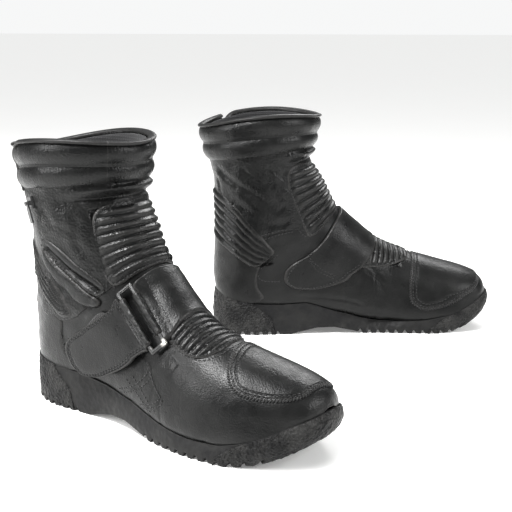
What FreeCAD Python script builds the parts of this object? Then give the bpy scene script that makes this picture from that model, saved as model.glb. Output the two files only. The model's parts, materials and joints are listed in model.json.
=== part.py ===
import FreeCAD, Part
import math
import os

# A pair of short motorcycle riding boots, right and left, standing on the floor.
# Units are millimetres. Each boot is modelled in its own frame: x runs from the heel to
# the toe, y points to the inner (medial) side of the right boot, z is up from the floor.
# The left boot is the mirror image of the right one.

os.makedirs("parts", exist_ok=True)
V = FreeCAD.Vector

# --- how the pair stands --------------------------------------------------------------
TOE_OUT = 20.0            # each boot turns its toe this far outwards, degrees
HEEL_SPACING = 212.0      # between the two heels, across
LEFT_AHEAD = 82.0         # the left heel is this far in front of the right one
PAIR_CENTRE = (172.9, 106.0)   # middle of the pair's box, seen from the right heel

# --- layers, as offsets from the outer skin of the boot -------------------------------
UPPER = (-2.8, -0.9)      # leather
STIFFENER = (-4.7, -3.7)  # toe puff and heel stiffener
BOARD = (-4.5, -3.4)
SHANK = (-2.7, -1.5)
LINING = (-6.2, -5.0)
FOOTBED = (-10.4, -6.8)
OVERLAY = (-0.2, 0.9)     # toe cap and heel counter
RIBS = (-0.2, 2.4)        # padded ribbed panels
STRAP = (-0.2, 1.8)
BASE = (-0.2, 0.8)        # lower layer of the closing strap
HOOKS = (2.4, 3.4)
FLAP = (4.0, 6.2)
COLLAR = (-4.4, 3.2)
TAPE = (-0.2, 0.4)
PLACKET = (-0.2, 1.5)

# --- hardware -------------------------------------------------------------------------
RING_LENGTH, RING_WIDTH = 58.0, 12.6   # between the centres of the bars
RING_BAR = 1.8                         # radius of the bar
LOOP_INNER, LOOP_OUTER = 2.15, 3.15    # sewn loops round the ring's bars
RING_HEIGHT = 4.8                      # bar centres stand this far off the skin
SLIDER = (10.0, 8.0, 1.8)              # length, width and thickness of the slider
PIN_RADIUS, EYE_INNER, EYE_OUTER = 0.7, 1.05, 1.9
PULLER = (13.0, 5.0, 1.4)

# --- the last: cross-sections from the toe (0) to the top of the collar (21) -----------
# Each one lies in a plane across the boot, between a front or top point and a back or
# bottom point: front x, z, back x, z, half width, sideways shift, roundness of the front
# half and of the back half (2 is an ellipse), and how much wider the back half is.
LAST = [
    (294.0, 44.0, 293.0, 36.0, 9.0, 4.0, 2.0, 2.0, 0.0),
    (291.0, 51.0, 290.0, 28.0, 19.0, 3.5, 2.1, 2.2, 0.05),
    (285.0, 56.5, 284.0, 22.0, 27.5, 3.0, 2.2, 2.4, 0.1),
    (274.0, 61.5, 273.0, 17.0, 35.0, 1.5, 2.3, 2.6, 0.14),
    (258.0, 66.5, 257.0, 12.5, 40.5, 0.0, 2.3, 2.9, 0.17),
    (238.0, 72.0, 237.0, 9.5, 43.5, -3.0, 2.3, 3.1, 0.19),
    (212.5, 79.0, 210.5, 9.0, 44.5, -5.5, 2.3, 3.2, 0.21),
    (189.5, 87.0, 184.0, 9.5, 42.0, -7.0, 2.3, 3.2, 0.22),
    (169.0, 98.0, 157.0, 13.0, 39.5, -5.0, 2.25, 3.0, 0.22),
    (154.5, 109.5, 126.5, 20.0, 37.5, -2.5, 2.2, 2.8, 0.17),
    (142.5, 119.0, 91.0, 25.0, 37.0, 0.0, 2.2, 2.7, 0.08),
    (135.0, 126.0, 50.5, 26.5, 38.0, 0.0, 2.3, 2.7, 0.0),
    (129.5, 132.0, 16.0, 28.5, 39.5, 0.0, 2.4, 2.6, -0.05),
    (125.5, 137.5, 3.0, 44.0, 41.5, 0.5, 2.3, 2.4, -0.04),
    (122.0, 144.5, 0.5, 67.0, 42.5, 0.5, 2.2, 2.2, 0.0),
    (118.5, 152.0, 1.5, 93.0, 43.5, 0.5, 2.1, 2.1, 0.0),
    (114.5, 160.0, 3.0, 120.0, 44.5, 0.5, 2.05, 2.05, 0.0),
    (108.5, 170.0, 3.0, 144.5, 46.5, 0.0, 2.0, 2.0, 0.0),
    (102.0, 181.0, 1.0, 165.0, 48.0, 0.0, 2.0, 2.0, 0.0),
    (103.0, 193.5, -3.0, 180.5, 49.0, 0.0, 2.0, 2.0, 0.0),
    (107.5, 208.5, -8.0, 198.0, 51.0, -0.5, 2.0, 2.0, 0.0),
    (111.0, 227.0, -12.5, 217.0, 53.0, -1.0, 2.0, 2.0, 0.0),
]
TOE_START, TOE_LENGTH = 240.0, 55.0    # offsets near the toe also push along x
SQUARE = 5.0              # near the sole the sides go straight down, as this superellipse
SQUARE_TOP, SQUARE_BLEND = 13.5, 2.0   # fades out above this cross-section
RIM_RISE = 7.0            # the collar's sides stand this much higher than its front
RIM_START, RIM_LENGTH = 17.5, 3.5


def last_at(u):
    """Smooth values between the cross-sections, by a Catmull-Rom spline."""
    end = len(LAST) - 1
    i = min(max(int(math.floor(u)), 0), end - 1)
    t = u - i
    p1 = LAST[i]
    p2 = LAST[i + 1]
    p0 = LAST[i - 1] if i > 0 else [2 * a - b for a, b in zip(p1, p2)]
    p3 = LAST[i + 2] if i + 2 <= end else [2 * b - a for a, b in zip(p1, p2)]
    return [
        0.5 * (2 * b + (c - a) * t + (2 * a - 5 * b + 4 * c - d) * t ** 2 + (3 * b - a - 3 * c + d) * t ** 3)
        for a, b, c, d in zip(p0, p1, p2, p3)
    ]


def power(value, exponent):
    return math.copysign(abs(value) ** exponent, value)


def skin(u, phi, offset=0.0):
    """A point on the boot. phi is 0 at the front or top, 180 at the back or bottom,
    positive on the inner side."""
    fx, fz, bx, bz, half, shift, front_round, back_round, wide = last_at(u)
    c = math.cos(math.radians(phi))
    s = math.sin(math.radians(phi))
    n = front_round if c > 0 else back_round
    cc = power(c, 2 / n)
    ss = power(s, 2 / n)
    if c < 0:
        squareness = min(max((SQUARE_TOP - u) / SQUARE_BLEND, 0.0), 1.0) * min(u / 3, 1.0)
        square = power(1 - abs(cc) ** SQUARE, 1 / SQUARE)
        ss += (math.copysign(square, s) - ss) * squareness
    ax = (fx - bx) / 2
    az = (fz - bz) / 2
    grow = 1 + offset / math.hypot(ax, az)
    x = (fx + bx) / 2 + ax * grow * cc
    y = shift + (half + offset) * ss * (1 - wide * cc)
    z = (fz + bz) / 2 + az * grow * cc
    z += RIM_RISE * s * s * min(max((u - RIM_START) / RIM_LENGTH, 0.0), 1.1) ** 1.5
    push = min(max((x - TOE_START) / TOE_LENGTH, 0.0), 1.0)
    return V(x + offset * push, y, z)


def blend_value(knots, value):
    """Linear steps between (place, value) pairs."""
    if value <= knots[0][0]:
        return knots[0][1]
    for (a, va), (b, vb) in zip(knots, knots[1:]):
        if value <= b:
            return va + (vb - va) * (value - a) / (b - a)
    return knots[-1][1]


def rectangle(u0, u1, phi0, phi1):
    return lambda s, t: (u0 + (u1 - u0) * s, phi0 + (phi1 - phi0) * t)


def quad(a, b, c, d):
    """Four corners (u, phi): a-b is the first edge (t = 0) and d-c the last (t = 1)."""
    def where(s, t):
        first = [a[i] + (b[i] - a[i]) * s for i in (0, 1)]
        last = [d[i] + (c[i] - d[i]) * s for i in (0, 1)]
        return [first[i] + (last[i] - first[i]) * t for i in (0, 1)]
    return where


def panel(where, layer, rows, columns):
    """A closed solid between two offsets of the skin, over the patch where(s, t)."""
    faces = []
    sides = []
    for offset in layer:
        grid = []
        for i in range(rows):
            row = [where(i / (rows - 1), j / (columns - 1)) for j in range(columns)]
            grid.append([skin(u, phi, offset) for u, phi in row])
        surface = Part.BSplineSurface()
        surface.interpolate(grid)
        faces.append(surface.toShape())
        u0, u1, v0, v1 = surface.bounds()
        iso = [surface.uIso(u0), surface.uIso(u1), surface.vIso(v0), surface.vIso(v1)]
        sides.append([curve.toShape() for curve in iso])
    for low, high in zip(*sides):
        faces.append(Part.makeRuledSurface(low, high))
    return closed(faces)


def closed(faces):
    shell = Part.makeShell(faces)
    shell.sewShape()
    solid = Part.makeSolid(shell.Shells[0])
    if solid.Volume < 0:
        solid.reverse()
    return solid


def filled(u0, u1, offset):
    """The whole inside of the skin between two cross-sections."""
    wires = []
    steps = int(round(u1 - u0))
    for i in range(steps + 1):
        u = u0 + i
        ring = [skin(u, 15.0 * j, offset) for j in range(24)]
        curve = Part.BSplineCurve()
        curve.interpolate(Points=ring, PeriodicFlag=True)
        wires.append(Part.Wire([curve.toShape()]))
    return Part.makeLoft(wires, True, False)


def spline(points):
    curve = Part.BSplineCurve()
    curve.interpolate([V(*p) for p in points])
    return curve.toShape()


def line(a, b):
    return Part.LineSegment(V(*a), V(*b)).toShape()


# --- the sole -------------------------------------------------------------------------
SOLE_OUTLINE = [
    (-1, 0), (3, 18), (14, 31), (35, 38), (65, 38.8), (100, 39.2), (140, 39.6), (180, 41),
    (215, 45.3), (245, 46), (265, 43.5), (281, 35.8), (290, 26.3), (295.4, 10), (295.4, -5),
    (289, -21.5), (276, -35.6), (255, -47), (230, -54), (205, -56.5), (180, -54.8), (150, -48.8),
    (120, -42.5), (95, -39.5), (65, -39), (35, -38), (14, -30.5), (3, -17),
]
MEDIAL_RIM = [(-6, 47), (9, 40), (25, 35.5), (45, 32), (70, 31), (97, 33.5), (119, 26), (141, 18.5),
              (163, 13), (188, 12), (223, 14), (249, 19.5), (268, 27), (282, 34), (289, 37.5), (295, 40.5)]
LATERAL_RIM = [(-6, 47), (9, 41), (25, 38), (45, 35), (70, 33.5), (103, 30), (135, 24), (169, 17.5),
               (200, 14), (228, 14.5), (249, 19.5), (268, 27), (282, 34), (289, 37.5), (295, 40.5)]
HEEL_BEVEL = [(-6, 40), (0, 29), (4, 18), (10, 9), (18, 3), (30, 0)]
ARCH = [(80, 0), (90, 3), (108, 7.5), (126, 8), (146, 3.5), (158, 0)]
TOE_SPRING = [(238, 0), (252, 2.5), (268, 7), (281, 13.5), (290, 21.5), (294.6, 29), (296, 35), (295.6, 40)]
HEEL_BUMPER_EDGE = [(36, 60), (38, 33), (60, 18), (66, -5)]
TOE_BUMPER_EDGE = [(230, -5), (238, 8), (250, 19), (252, 60)]
FAR = 80.0
GROOVE_PITCH, GROOVE_WIDTH, GROOVE_DEPTH = 9.4, 4.2, 3.8
CENTRE_RIB = 7.0          # half the width of the rib between the grooves
HEEL_GROOVES = (8.0, 62.0)
BALL_GROOVES = (152.0, 262.0)


def side_face(rim, y0, y1):
    """The sole seen from the side, thickened from y0 to y1."""
    def flat(points):
        return [(x, y0, z) for x, z in points]
    top = flat(rim)
    heel = flat(HEEL_BEVEL)
    arch = flat(ARCH)
    toe = flat(TOE_SPRING)
    edges = [spline(heel), line(heel[-1], arch[0]), spline(arch), line(arch[-1], toe[0]),
             spline(toe), line(toe[-1], top[-1]), spline(top), line(top[0], heel[0])]
    face = Part.Face(Part.Wire(Part.__sortEdges__(edges)))
    return face.extrude(V(0, y1 - y0, 0))


def zone(points, far_x, y_half=FAR):
    corners = [V(x, -y_half, z) for x, z in points]
    corners += [V(far_x, -y_half, points[-1][1]), V(far_x, -y_half, points[0][1]), corners[0]]
    return Part.Face(Part.makePolygon(corners)).extrude(V(0, 2 * y_half, 0))


def ground_line(x):
    """Height of the tread's lowest surface."""
    return blend_value(HEEL_BEVEL + ARCH + TOE_SPRING, x)


def make_sole():
    outline = Part.BSplineCurve()
    outline.interpolate(Points=[V(x, y, -10) for x, y in SOLE_OUTLINE], PeriodicFlag=True)
    plan = Part.Face(Part.Wire([outline.toShape()])).extrude(V(0, 0, FAR))
    inner_half = plan.common(side_face(MEDIAL_RIM, 0, FAR))
    outer_half = plan.common(side_face(LATERAL_RIM, -FAR, 0))
    sole = inner_half.fuse(outer_half).cut(filled(0, 15, -0.3))
    sole = sole.cut(filled(0, 14, -3.0))
    sole = max(sole.Solids, key=lambda solid: solid.Volume)
    for first, last in (HEEL_GROOVES, BALL_GROOVES):
        x = first
        while x < last:
            top = ground_line(x) + GROOVE_DEPTH
            for y in (-FAR, CENTRE_RIB):
                groove = Part.makeBox(GROOVE_WIDTH, FAR - CENTRE_RIB, top + 10, V(x, y, -10))
                sole = sole.cut(groove)
            x += GROOVE_PITCH
    heel_zone = zone(HEEL_BUMPER_EDGE, -20)
    toe_zone = zone(TOE_BUMPER_EDGE, 320)
    return {
        "heel_bumper": sole.common(heel_zone),
        "toe_bumper": sole.common(toe_zone),
        "outsole": sole.cut(heel_zone).cut(toe_zone),
    }


# --- leather and soft pieces ----------------------------------------------------------
# the zip's way down the outer side of the boot: (cross-section, degrees round)
ZIP_PATH = [(12.3, -62), (13.25, -66), (14.2, -72), (15.0, -79), (15.6, -87), (16.15, -96),
            (16.6, -107), (19.0, -112)]
ZIP_BEND = 16.6           # above this it runs straight down from the collar
ZIP_HALF_WIDTH = 3.5      # degrees round the boot
PLACKET_START, PLACKET_WIDTH = 4.0, 7.0
BACK = 180.0
UNDER = 146.0             # the leather turns under the foot this far round
BELLOWS_REACH = 86.0      # degrees each way from the middle of the back


def half_upper(side):
    def where(s, t):
        u = 9.7 + 9.3 * s
        edge = blend_value([(11, UNDER), (13, BACK - 0.4)], u)
        return (u, side * (0.5 + (edge - 0.5) * t))
    return where


def zip_path(u):
    return blend_value(ZIP_PATH, u)


def zip_tape_place(s, t):
    u = ZIP_PATH[0][0] + (ZIP_PATH[-1][0] - ZIP_PATH[0][0]) * s
    return (u, zip_path(u) + ZIP_HALF_WIDTH * (2 * t - 1))


def placket_place(s, t):
    u = ZIP_PATH[0][0] + (ZIP_BEND - ZIP_PATH[0][0]) * s
    return (u, zip_path(u) + PLACKET_START + PLACKET_WIDTH * t)


def bellows_place(s, t):
    phi = BACK - BELLOWS_REACH + 2 * BELLOWS_REACH * t
    away = abs(phi - BACK) / BELLOWS_REACH
    low = 14.9 - 2.9 * away
    high = 16.8 - 4.3 * away
    return (low + (high - low) * s, phi)


def counter_place(s, t):
    phi = 105 + 150 * t
    away = abs(phi - BACK) / BELLOWS_REACH
    low = 13.1 - 1.4 * away
    high = 14.8 - 2.9 * away
    return (low + (high - low) * s, phi)


def make_leather():
    return {
        "vamp": panel(rectangle(0.4, 9.6, -UNDER, UNDER), UPPER, 28, 37),
        "shaft_medial": panel(half_upper(1), UPPER, 32, 25),
        "shaft_lateral": panel(half_upper(-1), UPPER, 32, 25),
        "toe_cap": panel(quad((2.2, -55), (6.0, -60), (6.0, 100), (2.2, 80)), OVERLAY, 13, 27),
        "heel_counter": panel(counter_place, OVERLAY, 7, 31),
        "shin_ribs": panel(quad((12.2, -50), (17.7, -43), (18.0, 62), (12.2, 66)), RIBS, 16, 19),
        "instep_ribs": panel(quad((6.4, -38), (7.7, -50), (7.7, 62), (6.4, 50)), RIBS, 6, 19),
        "bellows": panel(bellows_place, RIBS, 9, 37),
        "zip_tape": panel(zip_tape_place, TAPE, 21, 3),
        "zip_placket": panel(placket_place, PLACKET, 13, 3),
    }


def make_inside():
    return {
        "insole_board": panel(rectangle(1.3, 12.2, 143, 217), BOARD, 32, 13),
        "shank": panel(rectangle(8.3, 11.4, 173, 187), SHANK, 9, 3),
        "footbed": panel(rectangle(1.9, 12.0, 143, 217), FOOTBED, 32, 13),
        "toe_puff": panel(rectangle(1.2, 3.6, -92, 92), STIFFENER, 9, 25),
        "heel_stiffener": panel(rectangle(12.8, 14.6, 108, 252), STIFFENER, 17, 49),
        "lining": panel(rectangle(0.8, 20.9, -178.5, 178.5), LINING, 60, 61),
    }


# --- the collar -----------------------------------------------------------------------
COLLAR_LOW, COLLAR_HIGH, BINDING_TOP = 19.2, 20.9, 21.25
TAB_FREE, TAB_HINGE = -128.0, -73.0    # the collar's free end and where it bends
BINDING = (-4.0, 2.4)


def make_collar():
    gap = 1.5
    around = (TAB_HINGE + gap, 360 + TAB_FREE - gap)
    return {
        "collar_pad": panel(rectangle(COLLAR_LOW, COLLAR_HIGH, *around), COLLAR, 5, 31),
        "collar_binding": panel(rectangle(COLLAR_HIGH + 0.02, BINDING_TOP, *around), BINDING, 3, 31),
        "collar_tab": panel(rectangle(COLLAR_LOW, BINDING_TOP, TAB_FREE, TAB_HINGE), COLLAR, 5, 9),
    }


def collar_hinge():
    """Top and bottom of the line where the collar's end bends outwards."""
    reach = COLLAR[1] + 0.3
    return skin(COLLAR_LOW, TAB_HINGE + 0.6, reach), skin(COLLAR_HIGH, TAB_HINGE + 0.6, reach)


# --- strap, ring and flap -------------------------------------------------------------
RING_CORNERS = [(11.15, -57.0), (10.95, -41.0), (7.9, -57.0), (8.35, -74.0)]


def ring_frame():
    """Centre, direction along the strap's width, and direction of the flap."""
    rear_top, front_top, front_low, rear_low = [skin(u, phi, RING_HEIGHT) for u, phi in RING_CORNERS]
    centre = (rear_top + front_top + front_low + rear_low) * 0.25
    along = (front_low + rear_low - rear_top - front_top).normalize()
    across = rear_top + rear_low - front_top - front_low
    across = (across - along * across.dot(along)).normalize()
    return centre, along, across


def bar(a, b, radius):
    return Part.makeCylinder(radius, (b - a).Length, a, b - a)


def ring_bars():
    centre, along, across = ring_frame()
    half = along * (RING_LENGTH / 2)
    side = across * (RING_WIDTH / 2)
    rear = (centre - half + side, centre + half + side)
    front = (centre - half - side, centre + half - side)
    return rear, front


def make_ring():
    rear, front = ring_bars()
    ends = [rear[0], rear[1], front[1], front[0]]
    ring = None
    for a, b in zip(ends, ends[1:] + ends[:1]):
        piece = bar(a, b, RING_BAR).fuse(Part.makeSphere(RING_BAR, a))
        ring = piece if ring is None else ring.fuse(piece)
    return ring.removeSplitter()


def loop_round(ends, width):
    """A sewn loop: a sleeve on the middle of a bar."""
    a, b = ends
    middle = (a + b) * 0.5
    along = (b - a).normalize()
    low = middle - along * (width / 2)
    high = middle + along * (width / 2)
    return bar(low, high, LOOP_OUTER).cut(bar(low, high, LOOP_INNER))


def make_strap():
    rear, front = ring_bars()
    core = bar(front[0], front[1], LOOP_INNER)
    strap = panel(quad((7.9, -56), (11.0, -40.5), (11.3, 92), (9.4, 98)), STRAP, 11, 31)
    strap = strap.fuse(loop_round(front, 40)).cut(core)
    base = panel(quad((8.7, -80), (11.2, -63), (11.5, -92), (10.5, -118)), BASE, 13, 17)
    flap = panel(quad((8.6, -75.5), (11.15, -59.5), (11.7, -94), (10.3, -129)), FLAP, 13, 21)
    flap = flap.fuse(loop_round(rear, 46)).cut(bar(rear[0], rear[1], LOOP_INNER))
    hooks = panel(quad((9.1, -88), (11.2, -72), (11.5, -93), (10.5, -120)), HOOKS, 13, 17)
    return {
        "instep_strap": largest(strap),
        "strap_base": base,
        "closure_flap": largest(flap),
        "hook_patch": hooks,
        "strap_ring": make_ring(),
    }


def largest(shape):
    return max(shape.Solids, key=lambda solid: solid.Volume)


# --- zip slider and puller ------------------------------------------------------------
SLIDER_START = 9.0        # from the collar down to the middle of the parked slider
SLIDER_CLEAR = 1.1        # from the skin to the slider's underside
PIN_LIFT = 2.2            # pin centre above the slider's top


def zip_frame():
    """Middle of the parked slider, then down, outwards and sideways directions."""
    top = skin(19.0, zip_path(19.0))
    low = skin(17.0, zip_path(17.0))
    down = (low - top).normalize()
    side = (skin(18.0, zip_path(18.0) + 4) - skin(18.0, zip_path(18.0) - 4)).normalize()
    out = down.cross(side).normalize()
    if out.y > 0:
        out = out * -1
    side = out.cross(down)
    return top + down * SLIDER_START, down, out, side


def local_box(origin, axes, low, size):
    """A box given in a local frame."""
    box = Part.makeBox(size[0], size[1], size[2], V(*low))
    x, y, z = axes
    matrix = FreeCAD.Matrix(x.x, y.x, z.x, origin.x, x.y, y.y, z.y, origin.y, x.z, y.z, z.z, origin.z)
    return box.transformGeometry(matrix)


def pin_centre():
    origin, down, out, side = zip_frame()
    return origin + out * (SLIDER_CLEAR + SLIDER[2] + PIN_LIFT)


def make_zip():
    origin, down, out, side = zip_frame()
    axes = (down, side, out)
    length, width, thick = SLIDER
    body = local_box(origin, axes, (-length / 2, -width / 2, SLIDER_CLEAR), (length, width, thick))
    top = SLIDER_CLEAR + thick
    pin = pin_centre()
    ear = 1.2
    for y in (-3.4, 3.4 - ear):
        body = body.fuse(local_box(origin, axes, (-1.8, y, top - 0.2), (3.6, ear, PIN_LIFT + 1.4)))
    body = body.fuse(bar(pin - side * 3.0, pin + side * 3.0, PIN_RADIUS))
    plate_length, plate_width, plate_thick = PULLER
    eye = bar(pin - side * 1.7, pin + side * 1.7, EYE_OUTER)
    plate = local_box(pin, axes, (1.2, -1.7, -plate_thick / 2), (2.6, 3.4, plate_thick))
    grip = local_box(pin, axes, (3.6, -plate_width / 2, -plate_thick / 2),
                     (plate_length, plate_width, plate_thick))
    puller = eye.fuse(plate).fuse(grip).cut(bar(pin - side * 4, pin + side * 4, EYE_INNER))
    return {"zip_slider": body, "zip_puller": puller}


# --- both boots -----------------------------------------------------------------------
def make_boot():
    nodes = {}
    for group in (make_sole(), make_inside(), make_leather(), make_collar(), make_strap(), make_zip()):
        nodes.update(group)
    return nodes


def place(shape, side):
    """Move a right-boot shape to its place in the pair; the left boot is mirrored first."""
    heel = V(-PAIR_CENTRE[0], -PAIR_CENTRE[1], 0)
    if side == "left":
        shape = shape.mirror(V(0, 0, 0), V(0, 1, 0))
        heel = heel + V(LEFT_AHEAD, HEEL_SPACING, 0)
    turn = TOE_OUT if side == "left" else -TOE_OUT
    shape = shape.copy()
    shape.rotate(V(0, 0, 0), V(0, 0, 1), turn)
    shape.translate(heel)
    return shape


def place_vector(vector, side, direction=False):
    point = V(vector.x, -vector.y if side == "left" else vector.y, vector.z)
    turn = math.radians(TOE_OUT if side == "left" else -TOE_OUT)
    turned = V(point.x * math.cos(turn) - point.y * math.sin(turn),
               point.x * math.sin(turn) + point.y * math.cos(turn), point.z)
    if direction:
        return turned
    heel = V(-PAIR_CENTRE[0], -PAIR_CENTRE[1], 0)
    if side == "left":
        heel = heel + V(LEFT_AHEAD, HEEL_SPACING, 0)
    return turned + heel


def print_joints():
    """The lines and points that the joints turn about, in metres."""
    low, high = collar_hinge()
    rear, front = ring_bars()
    origin, down, out, side = zip_frame()
    facts = {
        "collar hinge": (low, high - low),
        "ring hinge": ((front[0] + front[1]) * 0.5, front[1] - front[0]),
        "flap hinge": ((rear[0] + rear[1]) * 0.5, rear[1] - rear[0]),
        "zip line": (origin, down),
        "puller hinge": (pin_centre(), side),
    }
    for boot in ("right", "left"):
        for name, (point, axis) in facts.items():
            point = place_vector(point, boot) * 0.001
            axis = place_vector(axis, boot, direction=True).normalize()
            print(boot, name, [round(v, 5) for v in point], [round(v, 5) for v in axis])


def main():
    nodes = make_boot()
    box = FreeCAD.BoundBox()
    for name, shape in nodes.items():
        for side in ("right", "left"):
            placed = place(shape, side)
            box.add(placed.BoundBox)
            placed.exportStep("parts/%s_%s.step" % (side, name))
        print(name, shape.ShapeType, "valid", shape.isValid(), "volume", round(shape.Volume))
    print("box", box)
    print_joints()


main()
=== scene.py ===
import bpy
import json
import math
import numpy as np
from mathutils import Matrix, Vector, geometry


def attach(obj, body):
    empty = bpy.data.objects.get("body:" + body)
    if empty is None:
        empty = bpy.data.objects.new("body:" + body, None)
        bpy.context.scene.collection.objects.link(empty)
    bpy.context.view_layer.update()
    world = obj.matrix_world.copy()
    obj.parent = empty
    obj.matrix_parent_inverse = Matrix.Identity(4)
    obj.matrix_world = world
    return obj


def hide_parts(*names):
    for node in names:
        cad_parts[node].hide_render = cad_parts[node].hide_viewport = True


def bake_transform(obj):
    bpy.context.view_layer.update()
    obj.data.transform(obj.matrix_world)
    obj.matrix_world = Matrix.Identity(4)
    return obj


# The visual model of a pair of motorcycle riding boots. Leather, padding, stitches and
# the sole's rubber are built on the same parametric skin as the CAD; metal and inner
# pieces are the CAD's own. Boot coordinates are millimetres: x heel to toe, y to the
# inner side of the right boot, z up. The left boot is the mirror image.

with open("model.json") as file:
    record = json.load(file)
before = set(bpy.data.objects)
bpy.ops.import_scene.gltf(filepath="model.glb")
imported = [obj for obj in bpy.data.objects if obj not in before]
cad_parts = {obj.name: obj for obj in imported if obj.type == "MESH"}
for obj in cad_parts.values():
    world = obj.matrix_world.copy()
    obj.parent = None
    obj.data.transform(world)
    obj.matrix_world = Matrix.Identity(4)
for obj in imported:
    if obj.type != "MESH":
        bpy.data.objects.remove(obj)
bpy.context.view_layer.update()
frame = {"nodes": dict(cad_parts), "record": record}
SIDES = ("right", "left")
MM = 0.001

# --- how the pair stands (as in the CAD) ------------------------------------------------
TOE_OUT, HEEL_SPACING, LEFT_AHEAD = 20.0, 212.0, 82.0
PAIR_CENTRE = (172.9, 106.0)


def to_world(points, side):
    """Boot millimetres to the row frame in metres."""
    p = np.array(points, float)
    y = -p[..., 1] if side == "left" else p[..., 1]
    turn = math.radians(TOE_OUT if side == "left" else -TOE_OUT)
    x0, y0 = (LEFT_AHEAD, HEEL_SPACING) if side == "left" else (0.0, 0.0)
    x = p[..., 0] * math.cos(turn) - y * math.sin(turn) - PAIR_CENTRE[0] + x0
    y = p[..., 0] * math.sin(turn) + y * math.cos(turn) - PAIR_CENTRE[1] + y0
    return np.stack([x, y, p[..., 2]], -1) * MM


# --- the last: cross-sections from the toe (0) to the top of the collar (21) ------------
# front x, z, back x, z, half width, shift, roundness front and back, extra width behind
LAST = np.array([
    (294.0, 44.0, 293.0, 36.0, 9.0, 4.0, 2.0, 2.0, 0.0),
    (291.0, 51.0, 290.0, 28.0, 19.0, 3.5, 2.1, 2.2, 0.05),
    (285.0, 56.5, 284.0, 22.0, 27.5, 3.0, 2.2, 2.4, 0.1),
    (274.0, 61.5, 273.0, 17.0, 35.0, 1.5, 2.3, 2.6, 0.14),
    (258.0, 66.5, 257.0, 12.5, 40.5, 0.0, 2.3, 2.9, 0.17),
    (238.0, 72.0, 237.0, 9.5, 43.5, -3.0, 2.3, 3.1, 0.19),
    (212.5, 79.0, 210.5, 9.0, 44.5, -5.5, 2.3, 3.2, 0.21),
    (189.5, 87.0, 184.0, 9.5, 42.0, -7.0, 2.3, 3.2, 0.22),
    (169.0, 98.0, 157.0, 13.0, 39.5, -5.0, 2.25, 3.0, 0.22),
    (154.5, 109.5, 126.5, 20.0, 37.5, -2.5, 2.2, 2.8, 0.17),
    (142.5, 119.0, 91.0, 25.0, 37.0, 0.0, 2.2, 2.7, 0.08),
    (135.0, 126.0, 50.5, 26.5, 38.0, 0.0, 2.3, 2.7, 0.0),
    (129.5, 132.0, 16.0, 28.5, 39.5, 0.0, 2.4, 2.6, -0.05),
    (125.5, 137.5, 3.0, 44.0, 41.5, 0.5, 2.3, 2.4, -0.04),
    (122.0, 144.5, 0.5, 67.0, 42.5, 0.5, 2.2, 2.2, 0.0),
    (118.5, 152.0, 1.5, 93.0, 43.5, 0.5, 2.1, 2.1, 0.0),
    (114.5, 160.0, 3.0, 120.0, 44.5, 0.5, 2.05, 2.05, 0.0),
    (108.5, 170.0, 3.0, 144.5, 46.5, 0.0, 2.0, 2.0, 0.0),
    (102.0, 181.0, 1.0, 165.0, 48.0, 0.0, 2.0, 2.0, 0.0),
    (103.0, 193.5, -3.0, 180.5, 49.0, 0.0, 2.0, 2.0, 0.0),
    (107.5, 208.5, -8.0, 198.0, 51.0, -0.5, 2.0, 2.0, 0.0),
    (111.0, 227.0, -12.5, 217.0, 53.0, -1.0, 2.0, 2.0, 0.0),
])
PADDED_LAST = np.vstack([2 * LAST[0] - LAST[1], LAST, 2 * LAST[-1] - LAST[-2]])
RIM_RISE = 7.0            # the collar's sides stand this much higher than its front
RIM_START = 17.5
SQUARE = 5.0              # near the sole the sides go straight down
SQUARE_TOP, SQUARE_BLEND = 13.5, 2.0
SHAFT_MM = (13.0, 0.78)   # millimetres per step of u and per degree, on the shaft
FOOT_DEGREE = 0.75        # millimetres per degree, on the foot


def between(p0, p1, p2, p3, t):
    """The smooth curve from p1 to p2, at t from 0 to 1."""
    return 0.5 * (2 * p1 + (p2 - p0) * t + (2 * p0 - 5 * p1 + 4 * p2 - p3) * t ** 2
                  + (3 * p1 - p0 - 3 * p2 + p3) * t ** 3)


def at_x(x, table):
    """The second column of a table, at x in its first column."""
    return np.interp(x, *np.array(table).T)


def smooth(a, b, x):
    t = np.clip((np.asarray(x, float) - a) / (b - a), 0, 1)
    return t * t * (3 - 2 * t)


def skin(u, phi, offset=0.0):
    """Points on the boot: u along it, phi round it in degrees, offset in mm."""
    u, phi, offset = np.broadcast_arrays(*[np.asarray(v, float) for v in (u, phi, offset)])
    i = np.clip(np.floor(u).astype(int), 0, len(LAST) - 2)
    t = (u - i)[..., None]
    p0, p1, p2, p3 = [PADDED_LAST[i + k] for k in range(4)]
    v = between(p0, p1, p2, p3, t)
    fx, fz, bx, bz, half, shift, front_n, back_n, wide = np.moveaxis(v, -1, 0)
    c, s = np.cos(np.radians(phi)), np.sin(np.radians(phi))
    n = np.where(c > 0, front_n, back_n)
    cc = np.sign(c) * np.abs(c) ** (2 / n)
    ss = np.sign(s) * np.abs(s) ** (2 / n)
    squareness = np.clip((SQUARE_TOP - u) / SQUARE_BLEND, 0, 1) * np.clip(u / 3, 0, 1) * (c < 0)
    ss = ss + (np.sign(s) * (1 - np.abs(cc) ** SQUARE) ** (1 / SQUARE) - ss) * squareness
    ax, az = (fx - bx) / 2, (fz - bz) / 2
    grow = 1 + offset / np.hypot(ax, az)
    x = (fx + bx) / 2 + ax * grow * cc
    y = shift + (half + offset) * ss * (1 - wide * cc)
    z = (fz + bz) / 2 + az * grow * cc
    z = z + RIM_RISE * s * s * np.clip((u - RIM_START) / (21 - RIM_START), 0, 1.1) ** 1.5
    push = np.clip((x - 240) / 55, 0, 1)
    return np.stack([x + offset * push, y, z], -1)


def normals_at(u, phi, offset=0.0):
    e, f = 0.02, 0.4
    du = skin(u + e, phi, offset) - skin(u - e, phi, offset)
    dp = skin(u, phi + f, offset) - skin(u, phi - f, offset)
    n = np.cross(dp, du)
    return n / np.maximum(np.linalg.norm(n, axis=-1, keepdims=True), 1e-9)


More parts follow.
